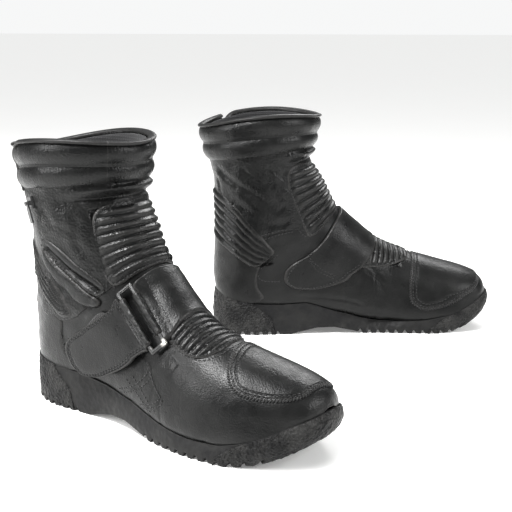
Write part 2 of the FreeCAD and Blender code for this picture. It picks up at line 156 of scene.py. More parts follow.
# --- noise ------------------------------------------------------------------------------
def noise(points, size, seed=0):
    """Smooth value noise between -1 and 1 with features of about size millimetres."""
    p = np.asarray(points, float) / size + 37.0 * (seed + 1)
    cell = np.floor(p).astype(np.int64)
    f = p - cell
    f = f * f * (3 - 2 * f)
    total = 0.0
    for dx in (0, 1):
        for dy in (0, 1):
            for dz in (0, 1):
                h = ((cell[..., 0] + dx) * 73856093) ^ ((cell[..., 1] + dy) * 19349663) \
                    ^ ((cell[..., 2] + dz) * 83492791) ^ (seed * 2654435761)
                h = (h ^ (h >> 13)) * 1274126177 & 0x7FFFFFFF
                value = (h ^ (h >> 15)) % 10007 / 10007.0
                weight = (f[..., 0] if dx else 1 - f[..., 0]) \
                    * (f[..., 1] if dy else 1 - f[..., 1]) \
                    * (f[..., 2] if dz else 1 - f[..., 2])
                total = total + value * weight
    return total * 2 - 1


def creases(points, size, seed=0):
    """Narrow dark folds between broad soft swellings, from 0 down to -1."""
    bent = np.asarray(points, float) + 3.0 * np.stack(
        [noise(points, 16, seed + k) for k in (11, 12, 13)], -1)
    return -np.exp(-(noise(bent, size, seed) / 0.13) ** 2)


def arc_length():
    """Distance down the front of the boot for each u."""
    u = np.linspace(0, 21.5, 400)
    p = skin(u, 0.0)
    return u, np.concatenate([[0], np.cumsum(np.linalg.norm(np.diff(p, axis=0), axis=1))])


FRONT_U, FRONT_S = arc_length()


def front_length(u):
    return np.interp(u, FRONT_U, FRONT_S)


def spread(phi):
    """Angle from the front, -180 to 180."""
    return (np.asarray(phi, float) + 180) % 360 - 180


# --- the shape of the leather between the seams -------------------------------------------
def away_from(u, phi, path):
    """Distance in mm over the shaft from a path of (u, phi)."""
    pts = np.array(path, float)
    q = np.stack([np.asarray(u, float) * SHAFT_MM[0], spread(phi) * SHAFT_MM[1]], -1)
    a = pts * SHAFT_MM
    best = np.full(q.shape[:-1], 1e9)
    for s, e in zip(a, a[1:]):
        d = e - s
        t = np.clip(((q - s) @ d) / (d @ d), 0, 1)
        best = np.minimum(best, np.linalg.norm(q - (s + t[..., None] * d), axis=-1))
    return best


FOLD_WANDER = 0.6         # how far, in mm, a fold strays from its path
FOLD_SOFTNESS = 1.55      # how much wider a fold is than its stated half width
FOLD_SHOULDER = 0.45      # height of the swelling beside a fold, as a part of its depth


def fold(u, phi, path, width, depth):
    """A long soft crease in the leather, along a path of (u, phi)."""
    best = away_from(u, phi, path) + FOLD_WANDER * noise(skin(u, phi), 12, 15)
    width = width * FOLD_SOFTNESS
    swelling = FOLD_SHOULDER * np.exp(-(best / (2.4 * width)) ** 2)
    return depth * (swelling - np.exp(-(best / width) ** 2))


FOLDS = [  # path, half width in mm, depth in mm
    ([(18.5, 150), (17.7, 128), (16.9, 108), (16.1, 92), (15.6, 82)], 2.2, 2.1),
    ([(18.2, 112), (17.5, 98), (17.2, 86)], 2.0, 1.5),
    ([(16.7, 130), (15.8, 108), (14.9, 92), (14.5, 80)], 2.0, 1.7),
    ([(18.3, 84), (17.6, 72), (17.9, 66)], 1.6, 1.1),
    ([(17.0, 88), (16.2, 80)], 1.5, 1.0),
    ([(17.8, 158), (16.9, 150), (17.4, 128)], 1.8, 1.2),
    ([(17.2, -62), (16.2, -70), (15.2, -64)], 2.0, 0.9),
    ([(18.2, -98), (17.3, -88), (16.9, -74)], 2.4, 0.9),
    ([(18.2, -150), (17.6, -132)], 2.0, 1.0),
    ([(12.6, -66), (12.2, -76), (11.9, -86)], 2.2, 1.5),
    ([(14.3, -90), (13.4, -84), (12.5, -78), (11.9, -70)], 2.2, 1.6),
    ([(8.3, 66), (7.6, 82), (7.3, 95)], 1.6, 0.6),
    ([(8.1, 80), (7.2, 92)], 1.3, 0.5),
    ([(8.7, -86), (8.0, -80), (7.4, -68)], 1.8, 0.7),
    ([(10.1, 126), (9.3, 122), (8.4, 118)], 2.0, 0.6),
]


COLLAR_FOOT = [  # u, half width in u, height in mm: a swelling under the collar, a fold below it
    (18.88, 0.30, 3.8),
    (18.38, 0.16, -2.0),
]


def leather_height(u, phi):
    """Offset of the boot's main leather from the skin, in mm."""
    p = skin(u, phi)
    shaft = smooth(12.6, 14.2, u) * (1 - smooth(18.9, 19.3, u))
    front = smooth(78, 40, np.abs(spread(phi)))
    h = 0.28 * noise(p, 24, 1) + 0.12 * noise(p, 9, 2)
    h = h + shaft * (1.3 * noise(p, 21, 3) + 0.7 * noise(p, 9, 4)
                     + 0.4 * np.abs(noise(p * (1, 1, 0.8), 12, 5)) + 0.12 * noise(p, 4, 6))
    beside = np.abs(spread(phi))
    ankle = smooth(10.0, 11.5, u) * (1 - smooth(12.8, 14, u)) * smooth(60, 80, beside)
    h = h + ankle * 0.45 * noise(p, 14, 7)
    bend = smooth(6.2, 7.2, u) * (1 - smooth(8.6, 9.6, u)) * smooth(45, 70, beside)
    h = h + bend * 0.3 * creases(p * (1.0, 1.0, 0.45), 11, 8)
    for path, width, depth in FOLDS:
        h = h + fold(u, phi, path, width, depth)
    for at, width, height in COLLAR_FOOT:
        h = h + height * front * np.exp(-((u - at) / width) ** 2)
    under_rolls = smooth(18.9, 19.35, u)
    return np.where(u > 19.25, -1.5, h * (1 - 0.7 * under_rolls) - 0.4)


# --- mesh helpers --------------------------------------------------------------------------
def mesh_object(name, points, faces, side, normals=None):
    """A mesh from points in boot millimetres and a list of integer arrays (k, 3) or (k, 4)."""
    co = to_world(points, side).reshape(-1, 3)
    if side == "left":
        faces = [f[:, ::-1] for f in faces]
    mesh = bpy.data.meshes.new(name)
    mesh.vertices.add(len(co))
    mesh.vertices.foreach_set("co", co.astype(np.float32).ravel())
    loops = np.concatenate([f.ravel() for f in faces]).astype(np.int32)
    sizes = np.concatenate([np.full(len(f), f.shape[1]) for f in faces])
    mesh.loops.add(len(loops))
    mesh.loops.foreach_set("vertex_index", loops)
    mesh.polygons.add(len(sizes))
    starts = np.concatenate([[0], np.cumsum(sizes)[:-1]]).astype(np.int32)
    mesh.polygons.foreach_set("loop_start", starts)
    mesh.polygons.foreach_set("use_smooth", np.ones(len(sizes), bool))
    mesh.update(calc_edges=True)
    mesh.validate()
    if normals is not None:
        n = np.array(normals, float).reshape(-1, 3)
        tip = to_world(np.zeros((1, 3)), side)
        world = to_world(n, side) - tip
        world /= np.maximum(np.linalg.norm(world, axis=1, keepdims=True), 1e-9)
        mesh.normals_split_custom_set_from_vertices(world.tolist())
    obj = bpy.data.objects.new(name, mesh)
    bpy.context.scene.collection.objects.link(obj)
    return obj


def quads(n, m, base=0, wrap=False, flip=False):
    i, j = np.meshgrid(np.arange(n - 1), np.arange(m if wrap else m - 1), indexing="ij")
    k = (j + 1) % m
    f = np.stack([i * m + j, i * m + k, (i + 1) * m + k, (i + 1) * m + j], -1).reshape(-1, 4) + base
    return f[:, ::-1] if flip else f


def shell(outer, inner):
    """A closed solid between two grids of points of the same size."""
    n, m = outer.shape[:2]
    ring = border(n, m)
    after = np.roll(ring, -1)
    walls = np.stack([after, ring, ring + n * m, after + n * m], -1)
    faces = [quads(n, m), quads(n, m, n * m, flip=True), walls]
    return np.vstack([outer.reshape(-1, 3), inner.reshape(-1, 3)]), faces


def border(n, m):
    """Indices round the edge of an n by m grid, in order."""
    top = np.arange(m)
    right = np.arange(1, n) * m + m - 1
    low = (n - 1) * m + np.arange(m - 2, -1, -1)
    left = np.arange(n - 2, 0, -1) * m
    return np.concatenate([top, right, low, left])


def grid_solid(u, phi, top, low):
    """A closed padded shape over a grid of the skin: vertices and faces."""
    outer = skin(u, phi, top)
    inner = skin(u, phi, low)
    return shell(outer, inner)


def uv_grid(u0, u1, phi0, phi1, rows, columns):
    return np.meshgrid(np.linspace(u0, u1, rows), np.linspace(phi0, phi1, columns), indexing="ij")


# --- patches with any outline ------------------------------------------------------------
def closed_curve(points, spacing, metric):
    """A smooth closed outline through the points (u, phi)."""
    p = np.array(points, float)
    n = len(p)
    out = []
    for i in range(n):
        p0, p1, p2, p3 = p[i - 1], p[i], p[(i + 1) % n], p[(i + 2) % n]
        length = np.linalg.norm((p2 - p1) * metric)
        steps = max(2, int(round(length / spacing)))
        out.append(between(p0, p1, p2, p3, np.arange(steps)[:, None] / steps))
    return np.vstack(out)


def metric_at(points):
    """Millimetres on the skin for a step of u and for a degree, in the middle of the points."""
    u, phi = points.mean(0)
    along = np.linalg.norm(skin(u + 0.5, phi) - skin(u - 0.5, phi))
    round_it = np.linalg.norm(skin(u, phi + 1) - skin(u, phi - 1)) / 2
    return np.array([along, round_it])


def inside(q, poly):
    x, y = q[:, 0], q[:, 1]
    hit = np.zeros(len(q), bool)
    for a, b in zip(poly, np.roll(poly, -1, axis=0)):
        if a[1] == b[1]:
            continue
        cross = (a[1] > y) != (b[1] > y)
        hit ^= cross & (x < (b[0] - a[0]) * (y - a[1]) / (b[1] - a[1]) + a[0])
    return hit


def edge_distance(q, poly):
    best = np.full(len(q), 1e9)
    for a, b in zip(poly, np.roll(poly, -1, axis=0)):
        d = b - a
        t = np.clip(((q - a) @ d) / max(d @ d, 1e-12), 0, 1)
        best = np.minimum(best, np.linalg.norm(q - (a + t[:, None] * d), axis=1))
    return best


def patch(outline, height, spacing, sink=-1.4):
    """A closed piece over an outline on the skin. height(u, phi, edge) is its outer offset,
    where edge is the distance in from the outline; sink is the offset of its underside."""
    pts = np.array(outline, float)
    metric = metric_at(pts)
    rim = closed_curve(pts, spacing, metric) * metric
    lo, hi = rim.min(0), rim.max(0)
    rows = np.arange(lo[0], hi[0], spacing * 0.9)
    cols = np.arange(lo[1], hi[1], spacing)
    gx, gy = np.meshgrid(rows, cols, indexing="ij")
    gy = gy + spacing / 2 * (np.arange(len(rows)) % 2)[:, None]
    q = np.stack([gx.ravel(), gy.ravel()], -1)
    q = q[inside(q, rim)]
    q = q[edge_distance(q, rim) > spacing * 0.55]
    flat = np.vstack([rim, q])
    k = len(rim)
    loop = [(i, (i + 1) % k) for i in range(k)]
    made = geometry.delaunay_2d_cdt([Vector(v) for v in flat], loop, [list(range(k))], 1, 1e-5)
    pos = np.array([tuple(v) for v in made[0]])
    faces = np.array([f for f in made[2] if len(f) == 3])
    a, b, c = pos[faces[:, 0]], pos[faces[:, 1]], pos[faces[:, 2]]
    area = (b[:, 0] - a[:, 0]) * (c[:, 1] - a[:, 1]) - (b[:, 1] - a[:, 1]) * (c[:, 0] - a[:, 0])
    faces = np.where((area < 0)[:, None], faces[:, ::-1], faces)
    edge = edge_distance(pos, rim)
    u, phi = pos[:, 0] / metric[0], pos[:, 1] / metric[1]
    outer = skin(u, phi, height(u, phi, edge))
    inner = skin(u, phi, sink)
    n = len(pos)
    directed = np.vstack([faces[:, [0, 1]], faces[:, [1, 2]], faces[:, [2, 0]]])
    keys = {(int(x), int(y)) for x, y in directed}
    rim_edges = np.array([e for e in keys if (e[1], e[0]) not in keys])
    walls = np.stack([rim_edges[:, 1], rim_edges[:, 0], rim_edges[:, 0] + n, rim_edges[:, 1] + n], -1)
    faces = faces[:, ::-1]
    return np.vstack([outer, inner]), [faces, faces[:, ::-1] + n, walls[:, ::-1]]


def round_edge(edge, radius, height):
    """Height of a piece whose edge is rounded over."""
    t = np.clip(edge / radius, 0, 1)
    return height * np.sqrt(np.clip(1 - (1 - t) ** 2, 0, 1))


def ribs(phase, sharp=0.62):
    """1 on top of a rib, 0 in the groove between two."""
    return np.abs(np.sin(np.pi * phase)) ** sharp


# --- stitches ------------------------------------------------------------------------------
STITCH_STEP = 0.5         # spacing, in mm, of the points of a line of stitches
CAPSULE_RING = 6


def path_on_skin(points, offset_at, closed=False):
    """A dense line of points and normals on the boot along (u, phi) points."""
    p = np.array(points, float)
    if closed:
        p = np.vstack([p, p[:1]])
    ends = np.vstack([2 * p[0] - p[1], p, 2 * p[-1] - p[-2]])
    t = np.linspace(0, 1, 24, endpoint=False)[:, None]
    out = []
    for p0, p1, p2, p3 in zip(ends, ends[1:], ends[2:], ends[3:]):
        out.append(between(p0, p1, p2, p3, t))
    uv = np.vstack(out + [p[-1:]])
    pos = skin(uv[:, 0], uv[:, 1], 0.0)
    length = np.concatenate([[0], np.cumsum(np.linalg.norm(np.diff(pos, axis=0), axis=1))])
    at = np.arange(0, length[-1], STITCH_STEP)
    u, phi = np.interp(at, length, uv[:, 0]), np.interp(at, length, uv[:, 1])
    return skin(u, phi, offset_at(u, phi)), normals_at(u, phi)


def stitch_mesh(lines, pitch=3.3, length=2.5, radius=0.46, slant=0.0):
    """Small thread capsules along lines of (points, normals)."""
    rows = [(-0.5, 0.25), (-0.38, 0.85), (0.0, 1.1), (0.38, 0.85), (0.5, 0.25)]
    verts, faces = [], []
    stride = max(1, int(round(pitch / STITCH_STEP)))
    for points, normals in lines:
        for i in range(stride // 2, len(points) - stride // 2, stride):
            ahead = points[min(i + 2, len(points) - 1)] - points[max(i - 2, 0)]
            ahead = ahead / max(np.linalg.norm(ahead), 1e-9)
            n = normals[i]
            side = np.cross(n, ahead)
            along = ahead * math.cos(slant) + side * math.sin(slant)
            side = np.cross(n, along)
            base = sum(len(v) for v in verts)
            for t, r in rows:
                lift = 0.1 - 0.5 * (2 * t) ** 2 * radius
                centre = points[i] + along * length * t + n * lift
                for k in range(CAPSULE_RING):
                    angle = 2 * math.pi * k / CAPSULE_RING
                    verts.append([centre + (side * math.cos(angle) + n * math.sin(angle)) * radius * r])
            faces.append(quads(len(rows), CAPSULE_RING, base, wrap=True))
    return np.vstack(verts), [np.vstack(faces)]


# --- materials -------------------------------------------------------------------------------
class Nodes:
    """A short way to write shader nodes."""

    def __init__(self, name):
        self.material = bpy.data.materials.new(name)
        self.material.use_nodes = True
        self.tree = self.material.node_tree
        self.shader = self.tree.nodes["Principled BSDF"]
        self.place = self.add("ShaderNodeTexCoord").outputs["Object"]

    def add(self, kind, **values):
        node = self.tree.nodes.new(kind)
        for key, value in values.items():
            setattr(node, key, value)
        return node

    def link(self, a, b):
        self.tree.links.new(a, b)

    def set(self, **values):
        for key, value in values.items():
            self.shader.inputs[key.replace("_", " ")].default_value = value

    def noise(self, size, detail=3.0, rough=0.55):
        """Noise with features of about size millimetres."""
        node = self.add("ShaderNodeTexNoise")
        node.inputs["Scale"].default_value = 1000.0 / size
        node.inputs["Detail"].default_value = detail
        node.inputs["Roughness"].default_value = rough
        self.link(self.place, node.inputs["Vector"])
        return node.outputs["Fac"]

    def cells(self, size):
        node = self.add("ShaderNodeTexVoronoi", feature="F1")
        node.inputs["Scale"].default_value = 1000.0 / size
        self.link(self.place, node.inputs["Vector"])
        return node.outputs["Distance"]

    def ranged(self, value, low, high, to_low, to_high):
        node = self.add("ShaderNodeMapRange")
        for key, number in zip(("From Min", "From Max", "To Min", "To Max"), (low, high, to_low, to_high)):
            node.inputs[key].default_value = number
        self.link(value, node.inputs["Value"])
        return node.outputs["Result"]

    def math(self, operation, a, b):
        node = self.add("ShaderNodeMath", operation=operation)
        for socket, value in zip(node.inputs, (a, b)):
            if isinstance(value, (int, float)):
                socket.default_value = value
            else:
                self.link(value, socket)
        return node.outputs[0]

    def mix(self, factor, a, b):
        node = self.add("ShaderNodeMix", data_type="RGBA")
        for socket, value in ((node.inputs[0], factor), (node.inputs[6], a), (node.inputs[7], b)):
            if isinstance(value, (int, float)):
                socket.default_value = value
            elif isinstance(value, tuple):
                socket.default_value = (*value, 1.0)
            else:
                self.link(value, socket)
        return node.outputs[2]

    def bump(self, layers):
        """Chain of (height, distance in mm, strength)."""
        normal = None
        for height, distance, strength in layers:
            node = self.add("ShaderNodeBump")
            node.inputs["Distance"].default_value = distance * MM
            node.inputs["Strength"].default_value = strength
            self.link(height, node.inputs["Height"])
            if normal is not None:
                self.link(normal, node.inputs["Normal"])
            normal = node.outputs["Normal"]
        self.link(normal, self.shader.inputs["Normal"])


def leather(name, dark, light, rough, grain, grain_depth, wear=0.5):
    n = Nodes(name)
    n.set(Specular_IOR_Level=0.17)
    tone = n.ranged(n.noise(34, 4), 0.35, 0.68, 0.0, 1.0)
    colour = n.mix(tone, dark, light)
    point = n.add("ShaderNodeNewGeometry").outputs["Pointiness"]
    ridge = n.math("MULTIPLY", n.ranged(point, 0.515, 0.56, 0.0, wear), n.noise(5, 4))
    colour = n.mix(ridge, colour, (0.06, 0.058, 0.056))
    # painted shade: concave creases and hollows are darkened towards black in the base colour
    painted_crease_shade = n.ranged(point, 0.47, 0.495, 0.55, 0.0)
    colour = n.mix(painted_crease_shade, colour, (0.003, 0.003, 0.003))
    n.link(colour, n.shader.inputs["Base Color"])
    r = n.ranged(n.noise(14, 5), 0.3, 0.7, rough - 0.07, rough + 0.1)
    n.link(r, n.shader.inputs["Roughness"])
    pebbles = n.cells(grain)
    n.bump([(n.noise(7, 5, 0.6), 1.2, 0.35), (pebbles, 0.5, grain_depth), (n.noise(0.9, 2), 0.15, 0.3)])
    return n.material


def rubber(name, dark, light, rough, pebble, depth):
    n = Nodes(name)
    n.set(Specular_IOR_Level=0.15)
    dust = n.ranged(n.noise(22, 6, 0.65), 0.42, 0.75, 0.0, 1.0)
    colour = n.mix(dust, dark, light)
    n.link(colour, n.shader.inputs["Base Color"])
    n.link(n.ranged(n.noise(7, 4), 0.3, 0.7, rough - 0.08, rough + 0.1), n.shader.inputs["Roughness"])
    n.bump([(n.cells(pebble), pebble * 0.7, depth), (n.noise(pebble, 3, 0.6), pebble * 0.5, depth)])
    return n.material


def metal(name, paint, bare, rough, worn_at=(), worn_radius=0.004):
    """Dark painted metal, rubbed through where it is touched."""
    n = Nodes(name)
    scratch = n.ranged(n.noise(2.4, 6, 0.7), 0.6, 0.72, 0.0, 0.6)
    for point in worn_at:
        away = n.add("ShaderNodeVectorMath", operation="DISTANCE")
        n.link(n.place, away.inputs[0])
        away.inputs[1].default_value = point
        near = n.ranged(away.outputs["Value"], worn_radius * 0.4, worn_radius, 1.0, 0.0)
        scratch = n.math("MAXIMUM", scratch, near)
    n.link(n.mix(scratch, paint, bare), n.shader.inputs["Base Color"])
    n.link(scratch, n.shader.inputs["Metallic"])
    n.link(n.ranged(n.noise(5, 4), 0.3, 0.7, rough - 0.05, rough + 0.1), n.shader.inputs["Roughness"])
    n.bump([(n.noise(1.2, 3), 0.1, 0.2)])
    return n.material


def cloth(name, dark, light, rough, weave, depth):
    n = Nodes(name)
    n.set(Sheen_Weight=0.15, Sheen_Roughness=0.5, Specular_IOR_Level=0.3)
    wave = []
    for direction in ("X", "Z"):
        node = n.add("ShaderNodeTexWave", bands_direction=direction)
        node.inputs["Scale"].default_value = 1000.0 / weave / 6.3
        node.inputs["Distortion"].default_value = 0.6
        n.link(n.place, node.inputs["Vector"])
        wave.append(node.outputs["Fac"])
    mesh = n.math("MULTIPLY", wave[0], wave[1])
    colour = n.mix(n.math("MULTIPLY", mesh, n.noise(18, 4)), dark, light)
    n.link(colour, n.shader.inputs["Base Color"])
    n.link(n.ranged(n.noise(9, 3), 0.3, 0.7, rough - 0.05, rough + 0.05), n.shader.inputs["Roughness"])
    n.bump([(mesh, weave * 0.4, depth)])
    return n.material


BLACK = (0.0035, 0.0036, 0.0036)
SOFT_BLACK = (0.0085, 0.0086, 0.0084)
PAINTED_BLACK = (0.012, 0.012, 0.012)
M = {
    "smooth_leather": leather("smooth_leather", BLACK, SOFT_BLACK, 0.33, 1.2, 0.3),
    "grained_leather": leather("grained_leather", BLACK, SOFT_BLACK, 0.31, 2.0, 0.7),
    "padded_leather": leather("padded_leather", BLACK, SOFT_BLACK, 0.29, 1.5, 0.4, 0.8),
    "binding": leather("binding", (0.006, 0.006, 0.006), (0.013, 0.013, 0.013), 0.42, 0.8, 0.2),
    "sole_rubber": rubber("sole_rubber", (0.007, 0.007, 0.0073), (0.017, 0.0168, 0.016), 0.55, 5.0, 0.15),
    "rough_rubber": rubber("rough_rubber", (0.005, 0.005, 0.0052), (0.036, 0.0355, 0.034), 0.5, 2.6, 1.0),
    "thread": cloth("thread", (0.001, 0.001, 0.001), (0.003, 0.003, 0.003), 0.55, 0.5, 0.5),
    "board": cloth("board", (0.20, 0.15, 0.10), (0.36, 0.28, 0.19), 0.85, 1.2, 0.3),
    "steel": metal("steel", (0.45, 0.45, 0.46), (0.62, 0.62, 0.63), 0.35),
    "foam": cloth("foam", (0.03, 0.03, 0.034), (0.08, 0.08, 0.088), 0.9, 1.1, 0.6),
    "stiffener": cloth("stiffener", (0.34, 0.32, 0.28), (0.5, 0.48, 0.44), 0.7, 2.0, 0.3),
    "lining": cloth("lining", (0.006, 0.006, 0.0065), (0.020, 0.020, 0.022), 0.85, 1.3, 0.7),
    "zip_tape": cloth("zip_tape", (0.010, 0.010, 0.010), (0.03, 0.03, 0.03), 0.8, 0.7, 0.6),
    "dark_metal": metal("dark_metal", (0.03, 0.03, 0.03), (0.35, 0.34, 0.33), 0.34),
    "loop_fabric": cloth("loop_fabric", (0.010, 0.010, 0.010), (0.03, 0.03, 0.03), 0.95, 0.8, 0.9),
    "hook_fabric": cloth("hook_fabric", (0.010, 0.010, 0.010), (0.03, 0.03, 0.03), 0.6, 0.9, 0.9),
}


def finish_piece(obj, body, slot, replaces=(), material=None, fill=None, blend=None):
    """Material, CAD body (or baked in place) and replaced nodes of one visual piece."""
    obj.data.materials.append(M[material or slot])
    if blend:
        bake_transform(obj)
    else:
        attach(obj, body)
    if replaces:
        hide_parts(*replaces)


def both(name, made, body, slot, nodes=(), **more):
    """One piece on each boot, riding on that boot's body."""
    for side in SIDES:
        obj = mesh_object("%s_%s_look" % (side, name), *made, side)
        replaced = ["%s_%s" % (side, node) for node in nodes]
        finish_piece(obj, "%s_%s" % (side, body), slot, replaced, **more)


# --- seams: lines of stitches, collected and made into one piece ----------------------------
SEAMS = {"boot": [], "flap": []}


def seam(points, offset_at, body="boot", closed=False):
    SEAMS[body].append(path_on_skin(points, offset_at, closed))


def shifted(points, du, dphi=0.0):
    return [(u + du, phi + dphi) for u, phi in points]


def inset(outline, amount):
    """The outline moved inwards by about amount millimetres, in (u, phi)."""
    pts = np.array(outline, float)
    metric = metric_at(pts)
    rim = closed_curve(pts, 1.5, metric) * metric
    ahead = np.roll(rim, -2, axis=0) - np.roll(rim, 2, axis=0)
    normal = np.stack([-ahead[:, 1], ahead[:, 0]], -1)
    normal /= np.maximum(np.linalg.norm(normal, axis=1, keepdims=True), 1e-9)
    moved = rim + normal * amount
    if not inside(moved, rim)[len(moved) // 3]:
        moved = rim - normal * amount
    return moved / metric


def window(x, low, high, soft):
    """1 between low and high, fading to 0 just inside both."""
    return smooth(low, low + soft, x) * (1 - smooth(high - soft, high, x))


# the ankle bellows' upper and lower edge: phi, u
BAND_HIGH = [(84, 12.3), (91, 13.25), (100, 14.5), (113, 15.5), (128, 16.35), (146, 17.0),
             (169, 17.35), (185, 17.4), (205, 17.1), (225, 16.6), (242, 16.05), (258, 15.1),
             (269, 13.9), (273, 12.6)]
BAND_LOW = [(84, 11.8), (107, 13.0), (116, 13.55), (129, 14.25), (147, 14.85), (173, 15.35),
            (190, 15.45), (212, 15.5), (234, 15.3), (245, 14.55), (258, 13.6), (265, 12.9),
            (273, 12.3)]
SLOT_PATH = [(16.2, -101), (15.5, -90), (14.4, -76.5), (13.2, -66), (12.6, -63.5)]
PANEL_DIP, SLOT_DIP, SLOT_WIDTH = 2.6, 3.4, 2.2


def below_panels(u, phi):
    """How far the plain leather dips under the ribbed panels and in the pocket's slot."""
    front = spread(phi)
    round_it = np.asarray(phi, float) % 360
    band_low, band_high = at_x(round_it, BAND_LOW), at_x(round_it, BAND_HIGH)
    dip = window(u, band_low + 0.05, band_high - 0.05, 0.15) * window(round_it, 93, 268, 4)
    dip = np.maximum(dip, window(u, 12.0, 17.85, 0.25) * window(front, -50, 62, 4))
    dip = np.maximum(dip, window(u, 6.5, 8.7, 0.25) * window(front, -50, 58, 6))
    return PANEL_DIP * dip + SLOT_DIP * np.exp(-(away_from(u, phi, SLOT_PATH) / SLOT_WIDTH) ** 2)


# --- main leather: foot and shaft -------------------------------------------------------------
SHAFT_SEAM = [(-180, 14.6), (-126, 14.4), (-100, 12.9), (-88, 12.2), (-60, 12.1), (60, 12.3),
              (73, 13.7), (87, 14.2), (100, 14.5), (110, 14.2), (128, 14.9), (180, 14.6)]


def shaft_edge(phi):
    return at_x(spread(phi), SHAFT_SEAM)


FOOT_START, FOOT_END = 0.02, 13.6
FOOT_SIDE = 156.0         # the vamp's edge under the foot, in degrees from the front


def foot_piece():
    rows, columns = 420, 430
    s, phi = uv_grid(0.0, 1.0, -FOOT_SIDE, FOOT_SIDE, rows, columns)
    lengths = np.linspace(front_length(FOOT_START), front_length(13.0), rows)
    ramp = np.interp(lengths, FRONT_S, FRONT_U) / 13.0
    u = FOOT_START + ramp[:, None] * (FOOT_END - FOOT_START) * np.ones_like(s)
    phi = phi * (1 + smooth(8.6, 11.5, u) * (180.0 / FOOT_SIDE - 1))
    u = u * (shaft_edge(phi) + 0.5) / FOOT_END
    h = leather_height(u, phi) - below_panels(u, phi)
    low = np.minimum(h - 1.2, -2.2)
    return grid_solid(u, phi, h, low)


def shaft_piece(side_sign):
    s, t = uv_grid(0.0, 1.0, 0.0, 1.0, 230, 230)
    phi = side_sign * 180.0 * t
    low_u = shaft_edge(np.clip(phi, -179.9, 179.9))
    u = low_u + (19.45 - low_u) * s
    edge = (u - low_u) * 12.0
    back = (180 - np.abs(phi)) * 0.8
    h = leather_height(u, phi) + round_edge(edge, 1.2, 0.9) - 0.5 * np.exp(-(back / 0.9) ** 2)
    h = h - below_panels(u, phi)
    points, faces = grid_solid(u, phi, h, np.minimum(h - 1.0, -2.2))
    return points, [f[:, ::side_sign] for f in faces]


both("vamp", foot_piece(), "boot", "smooth_leather", ["vamp"])
both("shaft_medial", shaft_piece(1), "boot", "grained_leather", ["shaft_medial"])
both("shaft_lateral", shaft_piece(-1), "boot", "grained_leather", ["shaft_lateral"])


# --- toe cap ------------------------------------------------------------------------------------
TOE_OUTLINE = [(5.95, 12), (6.05, 40), (6.17, 70), (6.2, 90), (6.05, 100), (5.6, 107), (5.1, 104),
               (4.2, 95), (3.3, 84), (2.7, 68), (2.3, 50), (2.1, 30), (2.15, 10), (2.2, -12),
               (2.3, -34), (2.75, -50), (3.6, -62), (4.3, -66), (4.9, -65), (5.3, -56),
               (5.6, -36), (5.8, -10)]


def trench(edge, *lines):
    """Where rows of stitches pull the leather down, at these distances from the edge."""
    return -sum(0.6 * np.exp(-((edge - at) / 0.7) ** 2) for at in lines)


def toe_height(u, phi, edge):
    return leather_height(u, phi) + round_edge(edge, 1.3, 1.25) + trench(edge, 2.2, 5.0)


both("toe_cap", patch(TOE_OUTLINE, toe_height, 0.85), "boot", "smooth_leather", ["toe_cap"])


def on_leather(extra):
    return lambda u, phi: leather_height(u, phi) + extra


for amount in (2.2, 5.0):
    seam(inset(TOE_OUTLINE, amount), on_leather(1.05), closed=True)
rope = path_on_skin(inset(TOE_OUTLINE, 0.2), on_leather(0.5), closed=True)


# --- ribbed, padded panels --------------------------------------------------------------------
SHIN_OUTLINE = [(11.9, -48), (12.9, -53), (14.1, -55), (15.7, -54.5), (17.1, -48), (17.75, -38),
                (18.05, -18), (18.15, 10), (18.2, 34), (18.2, 48), (17.95, 60), (17.3, 67),
                (16.4, 70), (14.9, 67), (13.1, 65), (11.9, 62), (11.8, 20), (11.8, -20)]
SHIN_PITCH = 6.5


def shin_height(u, phi, edge):
    phase = (front_length(u) - front_length(12.15)) / SHIN_PITCH
    phase = phase + 0.06 * noise(skin(u, phi), 30, 21)
    inner = smooth(1.2, 5.5, edge)
    bulge = ribs(phase, 0.62) * (3.0 + 0.25 * noise(skin(u, phi), 8, 22))
    puckers = 0.1 * np.sin(spread(phi) * 2.9 + 3 * noise(skin(u, phi), 6, 23)) * ribs(phase, 1.5)
    return 0.1 + round_edge(edge, 1.0, 0.9) + inner * (bulge - 1.0 + puckers)


INSTEP_OUTLINE = [(8.5, -56), (7.75, -54), (7.0, -52), (6.45, -44), (6.15, -26), (6.1, -8), (6.15, 12),
                  (6.3, 34), (6.8, 52), (7.3, 63), (7.9, 71), (8.6, 74), (8.8, 20), (8.8, -20)]
INSTEP_PITCH = 5.9


def instep_height(u, phi, edge):
    bow = 3.2 * (np.abs(spread(phi) - 6) / 55.0) ** 2
    phase = (front_length(u) - front_length(6.3) - bow) / INSTEP_PITCH
    inner = smooth(0.8, 4.2, edge)
    bulge = ribs(phase, 0.5) * 2.5
    return 0.1 + round_edge(edge, 0.9, 0.8) + inner * (bulge - 0.9)


BAND_OUTLINE = [(13.2, 91), (14.5, 100), (15.5, 113), (16.35, 128), (17.0, 146), (17.35, 169),
                (17.4, 185), (17.1, 205), (16.6, 225), (16.05, 242), (15.1, 258), (13.9, 269),
                (12.75, 272), (12.6, 267.5), (13.6, 258), (14.55, 245), (15.25, 234), (15.5, 212),
                (15.45, 190), (15.35, 173), (14.85, 147), (14.25, 129), (13.55, 116),
                (13.0, 106.5), (12.95, 97)]
BAND_RIBS = 6


def band_height(u, phi, edge):
    low, high = at_x(phi, BAND_LOW), at_x(phi, BAND_HIGH)
    phase = BAND_RIBS * (u - low) / (high - low)
    inner = smooth(0.6, 3.0, edge)
    bulge = ribs(phase, 0.5) * (2.3 + 0.3 * noise(skin(u, phi), 12, 31))
    base = 0.5 + leather_height(u, phi) * 0.4 + round_edge(edge, 0.9, 0.9)
    return base + inner * (bulge - 0.7)


